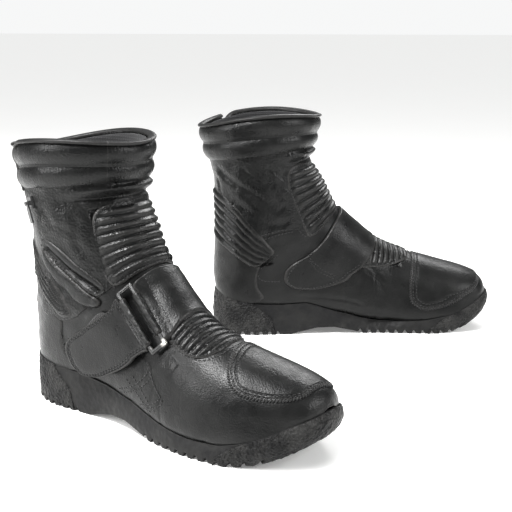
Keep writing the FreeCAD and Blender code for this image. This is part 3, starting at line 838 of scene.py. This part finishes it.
COUNTER_OUTLINE = [(13.0, 104), (12.5, 108), (11.9, 116), (11.3, 132), (11.6, 150), (12.4, 165),
                   (12.5, 180), (12.4, 195), (11.6, 210), (10.6, 225), (11.0, 235), (11.8, 252),
                   (12.5, 262), (13.0, 262), (13.75, 254), (14.65, 243), (15.4, 232),
                   (15.65, 212), (15.6, 190), (15.5, 173), (15.0, 147), (14.4, 129), (13.7, 115)]


def counter_height(u, phi, edge):
    return leather_height(u, phi) * 0.4 + round_edge(edge, 1.2, 1.0) - 0.1 - below_panels(u, phi)


def level(height):
    """The same offset from the skin everywhere."""
    return lambda u, *rest: height + 0 * u


counter = patch(COUNTER_OUTLINE, counter_height, 1.2, sink=-3.8)
both("heel_counter", counter, "boot", "smooth_leather", ["heel_counter"])
for name, outline, height, spacing, fill in (
        ("shin_ribs", SHIN_OUTLINE, shin_height, 0.85, 0.8),
        ("instep_ribs", INSTEP_OUTLINE, instep_height, 0.8, 0.8),
        ("bellows", BAND_OUTLINE, band_height, 0.85, 0.7)):
    both(name, patch(outline, height, spacing), "boot", "padded_leather", [name], fill=fill)

seam(shifted(SHIN_OUTLINE[:5], 0.0, -3.0) + [(17.95, -41), (18.25, -20)], on_leather(0.1))
BESIDE_SHIN = [(18.4, 50), (18.15, 64), (17.4, 71.5), (16.4, 74.5), (14.9, 71.5), (13.1, 69),
               (12.2, 67)]
seam(BESIDE_SHIN, on_leather(0.1))
seam(inset(SHIN_OUTLINE, 1.6), level(1.05), closed=True)
seam(shifted(INSTEP_OUTLINE[:11], -0.13), on_leather(0.1))
seam(inset(INSTEP_OUTLINE, 1.3), level(0.95), closed=True)
for height, line in (
        (0.9, [(14.35, 101), (14.05, 87), (13.55, 74)]),
        (0.9, [(14.6, 101), (14.3, 87), (13.8, 75)]),
        (0.75, [(13.15, 111), (12.35, 113), (11.6, 124), (11.3, 131)]),
        (0.1, [(12.75, 90), (12.7, 100), (12.75, 106)]),
        (0.75, [(12.75, -100), (12.0, -104), (11.2, -120), (10.6, -134)]),
        (0.1, [(12.9, 106), (12.2, 108), (11.65, 107), (11.2, 105.5)])):
    seam(line, on_leather(height))


# --- zip line and the padded roll beside it ------------------------------------------------------
ZIP_PATH = [(12.3, -62), (13.25, -66), (14.2, -72), (15.0, -79), (15.6, -87), (16.15, -96),
            (16.6, -107), (19.0, -112)]
POCKET_OUTLINE = [(16.72, -107), (16.55, -97), (15.75, -83), (14.55, -69), (13.2, -59),
                  (12.35, -58), (12.1, -62), (12.4, -68), (13.2, -72), (14.4, -81),
                  (15.5, -94), (16.3, -107)]


def pocket_height(u, phi, edge):
    """A long padded lip with a dark slot sewn into its middle."""
    lip = round_edge(edge, 2.2, 1.9)
    slot = 3.4 * np.exp(-(away_from(u, phi, SLOT_PATH) / 1.7) ** 2)
    return leather_height(u, phi) * 0.5 + lip - slot + 0.15


ROLL_OUTLINE = [(16.35, -108), (16.15, -104), (15.5, -94), (14.5, -82), (13.4, -73),
                (12.3, -68), (11.75, -69), (11.75, -74), (12.6, -80), (13.9, -88),
                (15.0, -99), (15.8, -110)]


def roll_height(u, phi, edge):
    roll = leather_height(u, phi) * 0.4 + round_edge(edge, 4.5, 3.2)
    return roll + 0.25 * noise(skin(u, phi), 10, 41) - 0.3


TAPE_ROWS, TAPE_COLUMNS = 200, 15
tape_u, tape_across = uv_grid(16.55, 19.2, -1, 1, TAPE_ROWS, TAPE_COLUMNS)
tape_phi = at_x(tape_u, ZIP_PATH) + 4.2 * tape_across
tooth = 0.5 * (1 + np.sin(np.arange(TAPE_ROWS) * 2 * math.pi / 5.0))[:, None]
teeth = np.exp(-(tape_across / 0.22) ** 2) * (0.35 + 0.45 * tooth)
tape_top = leather_height(tape_u, tape_phi) + 0.35 + teeth
both("zip_tape", grid_solid(tape_u, tape_phi, tape_top, -1.6), "boot", "zip_tape", ["zip_tape"])
placket = patch(POCKET_OUTLINE, pocket_height, 0.7, sink=-2.6)
both("zip_placket", placket, "boot", "smooth_leather", ["zip_placket"])
both("zip_roll", patch(ROLL_OUTLINE, roll_height, 1.0), "boot", "padded_leather", fill=0.8)
for beside in (6.5, -6.5):
    seam(shifted([(16.6, -107), (17.4, -108.5), (19.0, -112)], 0, beside), on_leather(0.3))
seam(inset(POCKET_OUTLINE, 1.2), on_leather(1.6), closed=True)


# --- side seams of the quarter ---------------------------------------------------------------------
SIDE_SEAMS = [
    [(8.35, -90), (8.2, -93), (8.4, -103), (8.9, -125), (9.2, -137)],
    [(8.3, -89), (7.8, -97), (7.45, -103), (7.9, -120), (8.3, -134)],
]
for line in SIDE_SEAMS:
    seam(line, on_leather(0.15))
    seam(shifted(line, 0.16, 2.0), on_leather(0.15))
seam([(9.15, -112), (8.6, -118), (8.15, -124), (7.9, -128)], on_leather(0.1))
seam([(8.95, -104), (8.4, -110), (7.95, -117), (7.7, -121)], on_leather(0.1))


# --- collar --------------------------------------------------------------------------------------
COLLAR_LOW, COLLAR_TOP = 19.15, 21.15
TAB_FREE, TAB_JOIN = -128.0, -30.0
GAP = 2.0


def collar_height(u, phi):
    """Two padded rolls, gathered in fine folds."""
    low = np.clip((u - COLLAR_LOW) / 1.0, 0, 1)
    high = np.clip((u - COLLAR_LOW - 1.0) / 0.82, 0, 1)
    piping = np.exp(-((u - 20.15) / 0.045) ** 2) * 1.1
    rolls = 4.0 * np.sin(np.pi * low) ** 0.7 * (low < 1)
    rolls = rolls + 3.6 * np.sin(np.pi * high) ** 0.65 * (high > 0)
    p = skin(u, phi)
    gathers = 0.02 * np.sin(phi * 2.3 + 6.0 * noise(p * (1, 1, 0.3), 12, 51))
    gathers = gathers * (1 + noise(p, 30, 54)) + 0.12 * noise(p * (1, 1, 0.5), 5.0, 52)
    soft = 0.35 * noise(p, 22, 53)
    return rolls * (1 + 0.06 * soft) + piping + gathers * np.clip(rolls / 2.5, 0, 1) + 0.1


def end_round(phi, free, direction, width=4.0):
    """1 away from the free end, falling to 0 at it."""
    t = np.clip((phi - free) * direction / width, 0, 1)
    return np.sqrt(np.clip(1 - (1 - t) ** 2, 0, 1))


CORNER = 15.0             # radius of the free end's top corner, in mm
COLLAR_MM = (18.0, 0.9)   # millimetres per step of u and per degree, at the collar
EDGE_U = COLLAR_TOP - 0.1
CORNER_U, CORNER_PHI = CORNER / COLLAR_MM[0], CORNER / COLLAR_MM[1]


def corner_drop(phi, free, direction):
    """How far the collar's top edge comes down at its rounded corner, in u."""
    away = np.clip((phi - free) * direction * COLLAR_MM[1], 0, CORNER)
    return (CORNER - np.sqrt(CORNER ** 2 - (CORNER - away) ** 2)) / COLLAR_MM[0]


def collar_skin(u, phi):
    return skin(u, phi, collar_height(u, phi))


def collar_part(phi0, phi1, columns):
    """One piece of the collar from phi0 to phi1: vertices, faces and normals."""
    s, phi = uv_grid(0.0, 1.0, phi0, phi1, 60, columns)
    top_u = EDGE_U - (corner_drop(phi, TAB_FREE, 1) if phi0 == TAB_FREE else 0)
    u = COLLAR_LOW + (top_u - COLLAR_LOW) * s
    closing = np.ones_like(phi)
    if phi0 == TAB_FREE:
        closing = end_round(phi, phi0, 1)
    if phi1 > 180:
        closing = end_round(phi, phi1, -1)
    mid = -1.2
    top = mid + (collar_height(u, phi) - mid) * closing
    if phi1 > 180:
        top = top - 0.15 * (phi < TAB_JOIN)
    low = mid + (-4.2 - mid) * closing
    e, f = 0.01, 0.3
    du = collar_skin(u + e, phi) - collar_skin(u - e, phi)
    dp = collar_skin(u, phi + f) - collar_skin(u, phi - f)
    n = np.cross(dp, du).reshape(-1, 3)
    n /= np.maximum(np.linalg.norm(n, axis=1, keepdims=True), 1e-9)
    points, faces = grid_solid(u, phi, top, low)
    return points, faces, np.vstack([n, -n])


def binding(path, out_u, out_phi):
    """A narrow leather binding folded over the collar's edge, along a path of (u, phi).
    out_u and out_phi point off the edge, in the surface."""
    wave = 0.12 * noise(skin(path[:, 0], path[:, 1]), 6, 61)
    rows = []
    for a in np.linspace(-0.15 * math.pi, 1.15 * math.pi, 17):
        lift = 1.9 * math.sin(a)
        u = path[:, 0] + out_u * lift / COLLAR_MM[0]
        phi = path[:, 1] + out_phi * lift / COLLAR_MM[1]
        rows.append(skin(u, phi, -0.7 + 3.5 * math.cos(a) + wave))
    return np.array(rows)


def binding_top(phi0, phi1, columns):
    phi = np.linspace(phi0, phi1, columns)
    path = np.stack([np.full(columns, EDGE_U), phi], -1)
    return binding(path, np.ones(columns), np.zeros(columns))


def binding_end():
    """From the join along the top, round the corner and down the collar's free end."""
    straight = np.linspace(TAB_JOIN, TAB_FREE + CORNER_PHI, 110)
    turn = np.linspace(0, math.pi / 2, 24)[1:]
    down = np.linspace(EDGE_U - CORNER_U, COLLAR_LOW - 0.1, 60)[1:]
    centre = (EDGE_U - CORNER_U, TAB_FREE + CORNER_PHI)
    path = [(EDGE_U, phi) for phi in straight]
    path += [(centre[0] + CORNER_U * math.cos(a), centre[1] - CORNER_PHI * math.sin(a)) for a in turn]
    path += [(u, TAB_FREE) for u in down]
    path = np.array(path)
    ahead = np.gradient(path, axis=0) * COLLAR_MM
    ahead /= np.linalg.norm(ahead, axis=1, keepdims=True)
    return binding(path, -ahead[:, 1], ahead[:, 0])[:, ::-1]


def tube_solid(grid):
    """Close an open strip of rows by joining its first and last row."""
    n, m = grid.shape[:2]
    along = np.arange(m - 1)
    last = np.stack([along + (n - 1) * m, along + 1 + (n - 1) * m, along + 1, along], -1)
    faces = [quads(n, m), last]
    for col in (0, m - 1):
        ring = np.arange(n) * m + col
        fan = np.stack([np.full(n - 2, ring[0]), ring[1:-1], ring[2:]], -1)
        faces.append(fan if col == 0 else fan[:, ::-1])
    return grid.reshape(-1, 3), faces


COLLAR_BACK = 360 + TAB_FREE - GAP
collar = collar_part(TAB_JOIN - 2, COLLAR_BACK, 480)
collar_end = collar_part(TAB_FREE, TAB_JOIN, 190)
top_binding = tube_solid(binding_top(TAB_JOIN, COLLAR_BACK, 300))
end_binding = tube_solid(binding_end())
for side in SIDES:
    boot, tab = side + "_boot", side + "_collar_end"
    before = to_world(skin(20.2, TAB_JOIN - 22, 0), side)
    after = to_world(skin(20.2, -96, 0), side)
    bend = (boot, tab, tuple(before), tuple(after))
    points, faces, normals = collar
    obj = mesh_object(side + "_collar_look", points, faces, side, normals)
    finish_piece(obj, boot, "padded_leather", [side + "_collar_pad"], fill=0.8)
    points, faces, normals = collar_end
    obj = mesh_object(side + "_collar_end_look", points, faces, side, normals)
    finish_piece(obj, None, "padded_leather", [side + "_collar_tab"], fill=0.8, blend=bend)
    obj = mesh_object(side + "_binding_look", *top_binding, side)
    finish_piece(obj, boot, "binding", [side + "_collar_binding"])
    obj = mesh_object(side + "_binding_end_look", *end_binding, side)
    finish_piece(obj, None, "binding", blend=bend)


# --- lining and footbed ----------------------------------------------------------------------------
lu, lphi = uv_grid(0.9, 20.95, -178.5, 178.5, 150, 150)
lining_low = -6.2 + 0.25 * noise(skin(lu, lphi), 14, 71) + 0.2 * creases(skin(lu, lphi), 18, 72)
both("lining", grid_solid(lu, lphi, -5.0, lining_low), "boot", "lining", ["lining"])
BED_U, BED_PHI = (1.9, 12.0), (143, 217)
fu, fphi = uv_grid(*BED_U, *BED_PHI, 90, 50)
edge = np.minimum.reduce([(fu - BED_U[0]) * 12, (BED_U[1] - fu) * 20,
                          (fphi - BED_PHI[0]) * 0.6, (BED_PHI[1] - fphi) * 0.6])
footbed = grid_solid(fu, fphi, -6.9, -7.4 - round_edge(edge, 4.0, 3.0))
both("footbed", footbed, "boot", "foam", ["footbed"], fill=0.9)


# --- strap, loops and flap ---------------------------------------------------------------------------
RING_LENGTH, RING_WIDTH, RING_HEIGHT = 58.0, 12.6, 4.8
RING_CORNERS = [(11.15, -57.0), (10.95, -41.0), (7.9, -57.0), (8.35, -74.0)]


def ring_bars():
    p = [skin(u, phi, RING_HEIGHT) for u, phi in RING_CORNERS]
    rear_top, front_top, front_low, rear_low = p
    centre = sum(p) / 4
    along = front_low + rear_low - rear_top - front_top
    along /= np.linalg.norm(along)
    across = rear_top + rear_low - front_top - front_low
    across -= along * (across @ along)
    across /= np.linalg.norm(across)
    return centre, along, across


RING_CENTRE, RING_ALONG, RING_ACROSS = ring_bars()


def loop_sleeve(sign, width, inner=1.95, outer=3.1):
    """Leather sewn round one bar of the ring."""
    centre = RING_CENTRE + RING_ACROSS * sign * RING_WIDTH / 2
    up = np.cross(RING_ALONG, RING_ACROSS)
    n, m = 28, 40
    s = np.linspace(-width / 2, width / 2, m)
    end = np.clip((width / 2 - np.abs(s)) / 0.8, 0, 1)
    rolled = inner + (outer - inner) * (0.55 + 0.45 * np.sqrt(end))
    rows = []
    for outside in (True, False):
        angles = np.linspace(0, 2 * math.pi, n, endpoint=False)
        for a in angles if outside else angles[::-1]:
            ray = RING_ACROSS * math.cos(a) + up * math.sin(a)
            r = rolled + 0.12 * np.sin(s * 0.7 + 3 * a) if outside else np.full(m, inner)
            rows.append(centre + RING_ALONG * s[:, None] + ray * r[:, None])
    verts = np.array(rows).reshape(-1, 3)
    i, j = np.meshgrid(np.arange(n), np.arange(m - 1), indexing="ij")
    k = (i + 1) % n
    f = np.stack([i * m + j, k * m + j, k * m + j + 1, i * m + j + 1], -1).reshape(-1, 4)
    faces = [f, f + n * m]
    for col in (0, m - 1):
        out_ring = np.arange(n) * m + col
        in_ring = n * m + ((n - np.arange(n)) % n) * m + col
        f = np.stack([out_ring, np.roll(out_ring, -1), np.roll(in_ring, -1), in_ring], -1)
        faces.append(f[:, ::-1] if col == 0 else f)
    return verts, faces


STRAP_OUTLINE = [(7.95, -57.0), (9.0, -51.5), (10.0, -46.3), (11.0, -41.0), (11.35, -16),
                 (11.2, 12), (11.15, 40), (11.0, 63), (11.15, 82), (11.5, 92), (11.3, 101),
                 (11.0, 108), (10.55, 113), (10.0, 112), (9.5, 104), (8.9, 92), (8.4, 76),
                 (8.0, 55), (7.85, 37), (7.85, 10), (7.85, -25)]


def past_bar(u, phi, front):
    """Distance in mm from the ring's front or rear bar, away from the ring."""
    ends = ([7.9, 10.95], [-57, -41]) if front else ([8.35, 11.15], [-74, -57])
    return np.abs(spread(phi) - np.interp(u, *ends)) * FOOT_DEGREE


def strap_height(u, phi, edge):
    under_panel = 2.0 * (1 - smooth(58, 78, spread(phi))) * smooth(-52, -38, spread(phi))
    soft = 0.35 * noise(skin(u, phi), 26, 81)
    crown = 0.5 * smooth(2, 16, edge)
    rise = 4.0 * (1 - smooth(0.5, 11, past_bar(u, phi, True))) * (spread(phi) < 0)
    return 0.5 + round_edge(edge, 1.3, 1.5) + under_panel * 0.85 + crown + soft + rise


FLAP_OUTLINE = [(11.05, -58.5), (10.95, -68), (11.15, -80), (11.4, -89), (11.58, -94.5),
                (11.6, -100), (11.45, -106), (11.1, -115), (10.75, -123.5), (10.35, -127.5),
                (9.9, -120.5), (9.5, -107), (9.05, -93), (8.65, -81), (8.45, -74.5),
                (9.2, -69.5), (10.1, -64)]


def flap_height(u, phi, edge):
    crown = 0.5 * smooth(0, 14, edge)
    soft = 0.2 * noise(skin(u, phi), 24, 91)
    rise = 1.5 * (1 - smooth(0.5, 8, past_bar(u, phi, False)))
    return 4.6 + round_edge(edge, 1.4, 2.0) + crown + soft + rise + 1.3 * trench(edge, 3.2, 5.2)


BASE_OUTLINE = [(10.9, -66), (11.0, -80), (11.25, -92), (11.2, -104), (10.8, -116), (10.3, -123),
                (9.9, -116), (9.5, -103), (9.1, -89), (8.8, -79), (9.3, -74.5), (10.2, -69)]


def base_height(u, phi, edge):
    return 0.2 + round_edge(edge, 1.0, 1.1)


HOOK_OUTLINE = [(11.15, -74), (11.4, -88), (11.3, -104), (10.7, -119), (10.3, -121),
                (9.7, -108), (9.2, -92), (9.3, -82)]


strap = patch(STRAP_OUTLINE, strap_height, 1.0, sink=-0.3)
both("instep_strap", strap, "boot", "smooth_leather", ["instep_strap"])
both("strap_loop", loop_sleeve(-1, 40), "boot", "smooth_leather")
strap_base = patch(BASE_OUTLINE, base_height, 1.2, sink=-0.8)
both("strap_base", strap_base, "boot", "loop_fabric", ["strap_base"])
flap = patch(FLAP_OUTLINE, flap_height, 0.8, sink=2.6)
both("closure_flap", flap, "flap", "smooth_leather", ["closure_flap"])
both("flap_loop", loop_sleeve(1, 46), "flap", "smooth_leather")
hook_patch = patch(HOOK_OUTLINE, level(2.9), 1.5, sink=1.9)
both("hook_patch", hook_patch, "flap", "hook_fabric", ["hook_patch"])


def over(height, edge, extra):
    """The offset of thread that lies on a piece, at a distance in from its edge."""
    return lambda u, phi: height(u, phi, np.full_like(u, edge)) + extra


STRAP_END = [(11.1, 78), (11.3, 90), (11.2, 99), (10.95, 106), (10.55, 110.5), (10.05, 109),
             (9.6, 101), (9.05, 89), (8.6, 76)]
seam(STRAP_END, over(strap_height, 2.0, 0.0))
for line in ([(11.0, 84), (10.6, 88), (10.1, 91), (9.45, 93)],
             [(10.95, 86), (10.55, 90), (10.05, 93), (9.5, 95.5)],
             [(10.95, -27), (10.0, -32), (9.0, -36), (8.05, -39)]):
    seam(line, over(strap_height, 9.0, 0.05))
for amount in (3.2, 5.2):
    seam(inset(FLAP_OUTLINE, amount)[6:-2], over(flap_height, 5.0, 0.1), body="flap")

both("seams", stitch_mesh(SEAMS["boot"]), "boot", "smooth_leather", material="thread")
both("flap_seams", stitch_mesh(SEAMS["flap"]), "flap", "smooth_leather", material="thread")
rope_mesh = stitch_mesh([rope], pitch=2.6, length=3.6, radius=0.75, slant=0.85)
both("toe_rope", rope_mesh, "boot", "smooth_leather", material="thread")


# --- the sole: a wall flush with the leather, a grooved tread and rough bumpers ------------------------
# boot x and y of the tread's outline; then boot x and height of the rim on both sides and
# of the tread's lowest line
SOLE_PLAN = [(-1, 0), (3, 18), (14, 31), (35, 38), (65, 38.8), (100, 39.2), (140, 39.6), (180, 41),
             (215, 45.3), (245, 46), (265, 43.5), (281, 35.8), (290, 26.3), (295.4, 10), (295.4, -5),
             (289, -21.5), (276, -35.6), (255, -47), (230, -54), (205, -56.5), (180, -54.8), (150, -48.8),
             (120, -42.5), (95, -39.5), (65, -39), (35, -38), (14, -30.5), (3, -17)]
MEDIAL_RIM = [(-6, 47), (9, 40), (25, 35.5), (45, 32), (70, 31), (97, 33.5), (119, 26), (141, 18.5),
              (163, 13), (188, 12), (223, 14), (249, 19.5), (268, 27.5), (282, 34.5), (289, 38), (296, 41)]
LATERAL_RIM = [(-6, 47), (9, 41), (25, 38), (45, 35), (70, 33.5), (103, 30), (135, 24), (169, 17.5),
               (200, 14), (228, 14.5), (249, 19.5), (268, 27.5), (282, 34.5), (289, 38), (296, 41)]
GROUND = [(-6, 16), (0, 10), (6, 5), (14, 1.5), (26, 0.2), (80, 0.2), (90, 3), (108, 7),
          (126, 7.5), (146, 3.5), (158, 0.3), (235, 0.3), (250, 2.0), (262, 5), (272, 9),
          (280, 13.5), (290, 20)]
GROOVE_PITCH, GROOVE_DEPTH = 9.4, 3.6
HEEL_GROOVES, BALL_GROOVES = (8.0, 67.0), (152.0, 262.0)
WALL_ROWS, BUMPER_ROWS = 22, 26
FLOOR_THICKNESS = 6.5


def groove(x):
    """0 on a lug, 1 in the groove after it."""
    wave = 0.0
    for first, last in (HEEL_GROOVES, BALL_GROOVES):
        phase = (x - first) / GROOVE_PITCH * 2 * math.pi
        within = smooth(first - 2, first + 1, x) * (1 - smooth(last - 1, last + 2, x))
        wave = wave + within * smooth(0.1, 0.75, np.sin(phase))
    return wave


def even(ring, width):
    """A closed ring of points with its small steps averaged out."""
    k = np.arange(-width, width + 1)
    return sum(np.roll(ring, int(j), axis=0) for j in k) / len(k)


def sole_rings():
    plan = closed_curve(SOLE_PLAN, 0.9, np.ones(2))
    x, y = plan[:, 0], plan[:, 1]
    rim = np.where(y > 0, at_x(x, MEDIAL_RIM), at_x(x, LATERAL_RIM))
    us, phis = uv_grid(0.03, 14.0, 80, 280, 300, 401)
    leather = skin(us, phis, leather_height(us, phis)).reshape(-1, 3)
    top = np.empty((len(x), 3))
    for i in range(len(x)):
        level = leather[np.abs(leather[:, 2] - rim[i]) < 1.2]
        gap = np.hypot(level[:, 0] - x[i], level[:, 1] - y[i])
        top[i] = (*level[gap.argmin(), :2], rim[i])
    top = even(top, 5)
    middle_y = np.interp(x, [0, 130, 210, 260, 295], [0, -1.5, -5.0, -2.0, 2.5])
    out = np.stack([x - np.interp(x, [0, 140, 296], [30, 140, 240]), y - middle_y], -1)
    out /= np.linalg.norm(out, axis=1, keepdims=True)
    top[:, :2] += out * 0.7
    toe = smooth(225, 296, x)
    low_x = x - 14.5 * toe - out[:, 0] * 1.5
    low_y = y - out[:, 1] * (1.8 + 3.0 * toe * (1 - toe) * 4)
    low_z = at_x(low_x, GROUND)
    low = np.stack([low_x, low_y, low_z + GROOVE_DEPTH * groove(low_x)], -1)
    widest = np.stack([x - out[:, 0] * 0.8, y - out[:, 1] * 1.5, rim * 0.5 + low_z * 0.5], -1)
    reach = ((widest - top)[:, :2] * out).sum(1)
    widest[:, :2] -= out * np.clip(reach - 2.2, 0, None)[:, None]
    return top, widest, low, out, middle_y


SOLE_TOP, SOLE_WIDEST, SOLE_LOW, SOLE_OUT, SOLE_MIDDLE = sole_rings()


def sole_wall(rows):
    t = np.linspace(0, 1, rows)[:, None, None]
    control = 2 * SOLE_WIDEST - 0.5 * (SOLE_TOP + SOLE_LOW)
    return (1 - t) ** 2 * SOLE_TOP + 2 * t * (1 - t) * control + t ** 2 * SOLE_LOW


def outsole():
    """Rings from inside the rim, over the wall and under the tread to the middle line."""
    wall = sole_wall(WALL_ROWS)
    lip = SOLE_TOP.copy()
    lip[:, :2] -= SOLE_OUT * 2.5
    bead = SOLE_TOP.copy()
    bead[:, :2] += SOLE_OUT * 0.25
    bead[:, 2] += 0.5
    rings = [lip, bead] + list(wall)
    middle = np.stack([np.clip(SOLE_LOW[:, 0], 6, 276), SOLE_MIDDLE], -1)
    for k in np.linspace(0, 1, 16)[1:]:
        xy = SOLE_LOW[:, :2] * (1 - k) + middle * k
        across = np.abs(xy[:, 1] - SOLE_MIDDLE)
        z = at_x(xy[:, 0], GROUND) + GROOVE_DEPTH * groove(xy[:, 0]) * smooth(5.5, 8.0, across)
        rings.append(np.column_stack([xy, z]))
    inner = middle * 0.98 + SOLE_LOW[:, :2] * 0.02
    floor_z = at_x(inner[:, 0], GROUND) + FLOOR_THICKNESS
    deep = SOLE_LOW.copy()
    deep[:, :2] -= SOLE_OUT * 9.0
    deep[:, 2] = at_x(deep[:, 0], GROUND) + FLOOR_THICKNESS
    grid = np.array([np.column_stack([inner, floor_z]), deep] + rings)
    return grid.reshape(-1, 3), [quads(*grid.shape[:2], wrap=True)]


def run_length(grid, axis):
    """Distance along the rows or columns of a grid of points, from its first ones."""
    step = np.linalg.norm(np.diff(grid, axis=axis), axis=-1)
    start = np.zeros_like(step.take([0], axis))
    return np.concatenate([start, np.cumsum(step, axis=axis)], axis)


def bumper(edge, behind, columns):
    """Rough rubber laid over the wall behind (or ahead of) an edge line of (z, x)."""
    wall = sole_wall(BUMPER_ROWS)
    n = wall.shape[1]
    middle = n // 2
    tip = 0 if behind else int(np.argmax(wall[BUMPER_ROWS // 2 - 1, :, 0]))
    order = (np.arange(n) - middle + tip) % n
    along = np.roll(wall, -3, axis=1) - np.roll(wall, 3, axis=1)
    down = np.gradient(wall, axis=0)
    normal = np.cross(along, down)
    normal /= np.maximum(np.linalg.norm(normal, axis=-1, keepdims=True), 1e-9)
    normal *= np.sign((normal[..., :2] * SOLE_OUT[None]).sum(-1).mean())
    rows, normals = [], []
    for row in range(len(wall)):
        line, across = wall[row][order], normal[row][order]
        start = at_x(line[:, 2], edge)
        keep = (line[:, 0] < start) if behind else (line[:, 0] > start)
        a = middle
        while a > 0 and keep[a - 1]:
            a -= 1
        b = middle
        while b < n - 1 and keep[b + 1]:
            b += 1
        at = np.linspace(a, b, columns)
        for found, values in ((rows, line), (normals, across)):
            found.append(np.stack([np.interp(at, np.arange(n), v) for v in values.T], -1))
    rows, normals = np.array(rows), np.array(normals)
    length = run_length(rows, 1)
    from_end = np.minimum(length, length[:, -1:] - length)
    raised = round_edge(np.minimum(from_end, run_length(rows, 0) + 0.2), 1.0, 1.15)
    rough = 0.5 * noise(rows, 2.0, 101) + 0.2 * noise(rows, 3.6, 102)
    outer = rows + normals * (raised + rough * np.clip(raised, 0, 1))[..., None]
    inner = rows - normals * 1.0
    return shell(outer, inner)


HEEL_EDGE = [(-5, 66), (18, 60), (33, 40), (50, 36)]
TOE_EDGE = [(-5, 222), (6, 228), (14, 238), (20, 250), (60, 252)]
both("outsole", outsole(), "boot", "sole_rubber", ["outsole"])
both("heel_bumper", bumper(HEEL_EDGE, True, 300), "boot", "rough_rubber", ["heel_bumper"])
both("toe_bumper", bumper(TOE_EDGE, False, 320), "boot", "rough_rubber", ["toe_bumper"])


# --- CAD pieces that keep their own shape: metal and inner parts --------------------------------
corner = RING_CENTRE + RING_ALONG * RING_LENGTH / 2 - RING_ACROSS * RING_WIDTH / 2
worn = [tuple(to_world(corner, side)) for side in SIDES]
M["black_ring"] = metal("black_ring", PAINTED_BLACK, (0.6, 0.58, 0.55), 0.3,
                        worn, 0.0045)
slots = {p["node"]: p["material_slot"] for p in frame["record"]["subparts"]}
for name, obj in frame["nodes"].items():
    material = M[slots[name]]
    if obj.data.materials:
        for k in range(len(obj.data.materials)):
            obj.data.materials[k] = material
    else:
        obj.data.materials.append(material)


# --- floor, light and camera ---------------------------------------------------------------------------
FLOOR_REACH = 30.0
PALE, PALER = (0.88, 0.88, 0.87), (0.91, 0.91, 0.90)
BACKDROP, SURROUNDINGS = (0.93, 0.935, 0.935), (0.24, 0.243, 0.245)


def stage():
    floor = bpy.data.meshes.new("floor")
    corners = [(x * FLOOR_REACH, y * FLOOR_REACH, 0) for x, y in ((-1, -1), (1, -1), (1, 1), (-1, 1))]
    floor.from_pydata(corners, [], [(0, 1, 2, 3)])
    obj = bpy.data.objects.new("floor", floor)
    bpy.context.scene.collection.objects.link(obj)
    n = Nodes("pale_floor")
    n.link(n.mix(n.noise(160, 3), PALE, PALER), n.shader.inputs["Base Color"])
    n.set(Roughness=0.65, Emission_Color=(1.0, 1.0, 0.99, 1.0), Emission_Strength=0.2)
    floor.materials.append(n.material)
    world = bpy.data.worlds.new("studio")
    world.use_nodes = True
    tree = world.node_tree
    seen = tree.nodes.new("ShaderNodeLightPath").outputs["Is Camera Ray"]
    pick = tree.nodes.new("ShaderNodeMix")
    pick.data_type = "RGBA"
    pick.inputs[6].default_value = (*SURROUNDINGS, 1.0)
    pick.inputs[7].default_value = (*BACKDROP, 1.0)
    tree.links.new(seen, pick.inputs[0])
    tree.links.new(pick.outputs[2], tree.nodes["Background"].inputs["Color"])
    bpy.context.scene.world = world


def softbox(name, place, aim, size, power):
    data = bpy.data.lights.new(name, "AREA")
    data.shape = "RECTANGLE"
    data.size, data.size_y = size
    data.energy = power
    obj = bpy.data.objects.new(name, data)
    obj.location = place
    obj.rotation_mode = "QUATERNION"
    obj.rotation_quaternion = (Vector(aim) - Vector(place)).to_track_quat("-Z", "Y")
    bpy.context.scene.collection.objects.link(obj)


CAMERA_AZIMUTH, CAMERA_ELEVATION, CAMERA_DISTANCE = 16.35, 12.96, 0.900
CAMERA_TARGET = (0.0032, -0.0543, 0.1194)
CAMERA_LENS = 71.0


def camera():
    data = bpy.data.cameras.new("camera")
    data.lens, data.sensor_width = CAMERA_LENS, 36.0
    obj = bpy.data.objects.new("camera", data)
    a, e = math.radians(CAMERA_AZIMUTH), math.radians(CAMERA_ELEVATION)
    back = Vector((math.sin(a) * math.cos(e), -math.cos(a) * math.cos(e), math.sin(e)))
    obj.location = Vector(CAMERA_TARGET) + back * CAMERA_DISTANCE
    obj.rotation_mode = "QUATERNION"
    obj.rotation_quaternion = (-back).to_track_quat("-Z", "Y")
    data.clip_start, data.clip_end = 0.02, 100.0
    bpy.context.scene.collection.objects.link(obj)
    bpy.context.scene.camera = obj


SUN_POWER, SUN_WIDTH, SUN_TILT = 1.9, 40.0, (18.0, -14.0)
SOFTBOXES = [  # name, place and aim in metres, width and height in metres, watts
    ("top_softbox", (-0.35, -0.45, 1.1), (0, 0, 0.12), (0.35, 0.3), 26.0),
    ("left_softbox", (-1.0, -0.9, 0.7), (-0.1, -0.1, 0.12), (0.3, 0.6), 15.0),
    ("right_softbox", (1.2, -0.1, 0.7), (0.1, 0.1, 0.12), (0.4, 0.6), 12.0),
    ("back_softbox", (0.1, 1.0, 0.9), (0, 0.1, 0.12), (0.7, 0.4), 12.0),
]
stage()
sun = bpy.data.lights.new("overhead", "SUN")
sun.energy, sun.angle = SUN_POWER, math.radians(SUN_WIDTH)
sun_object = bpy.data.objects.new("overhead", sun)
sun_object.rotation_euler = (math.radians(SUN_TILT[0]), math.radians(SUN_TILT[1]), 0)
bpy.context.scene.collection.objects.link(sun_object)
for values in SOFTBOXES:
    softbox(*values)
camera()
bpy.context.scene.view_settings.view_transform = "Standard"
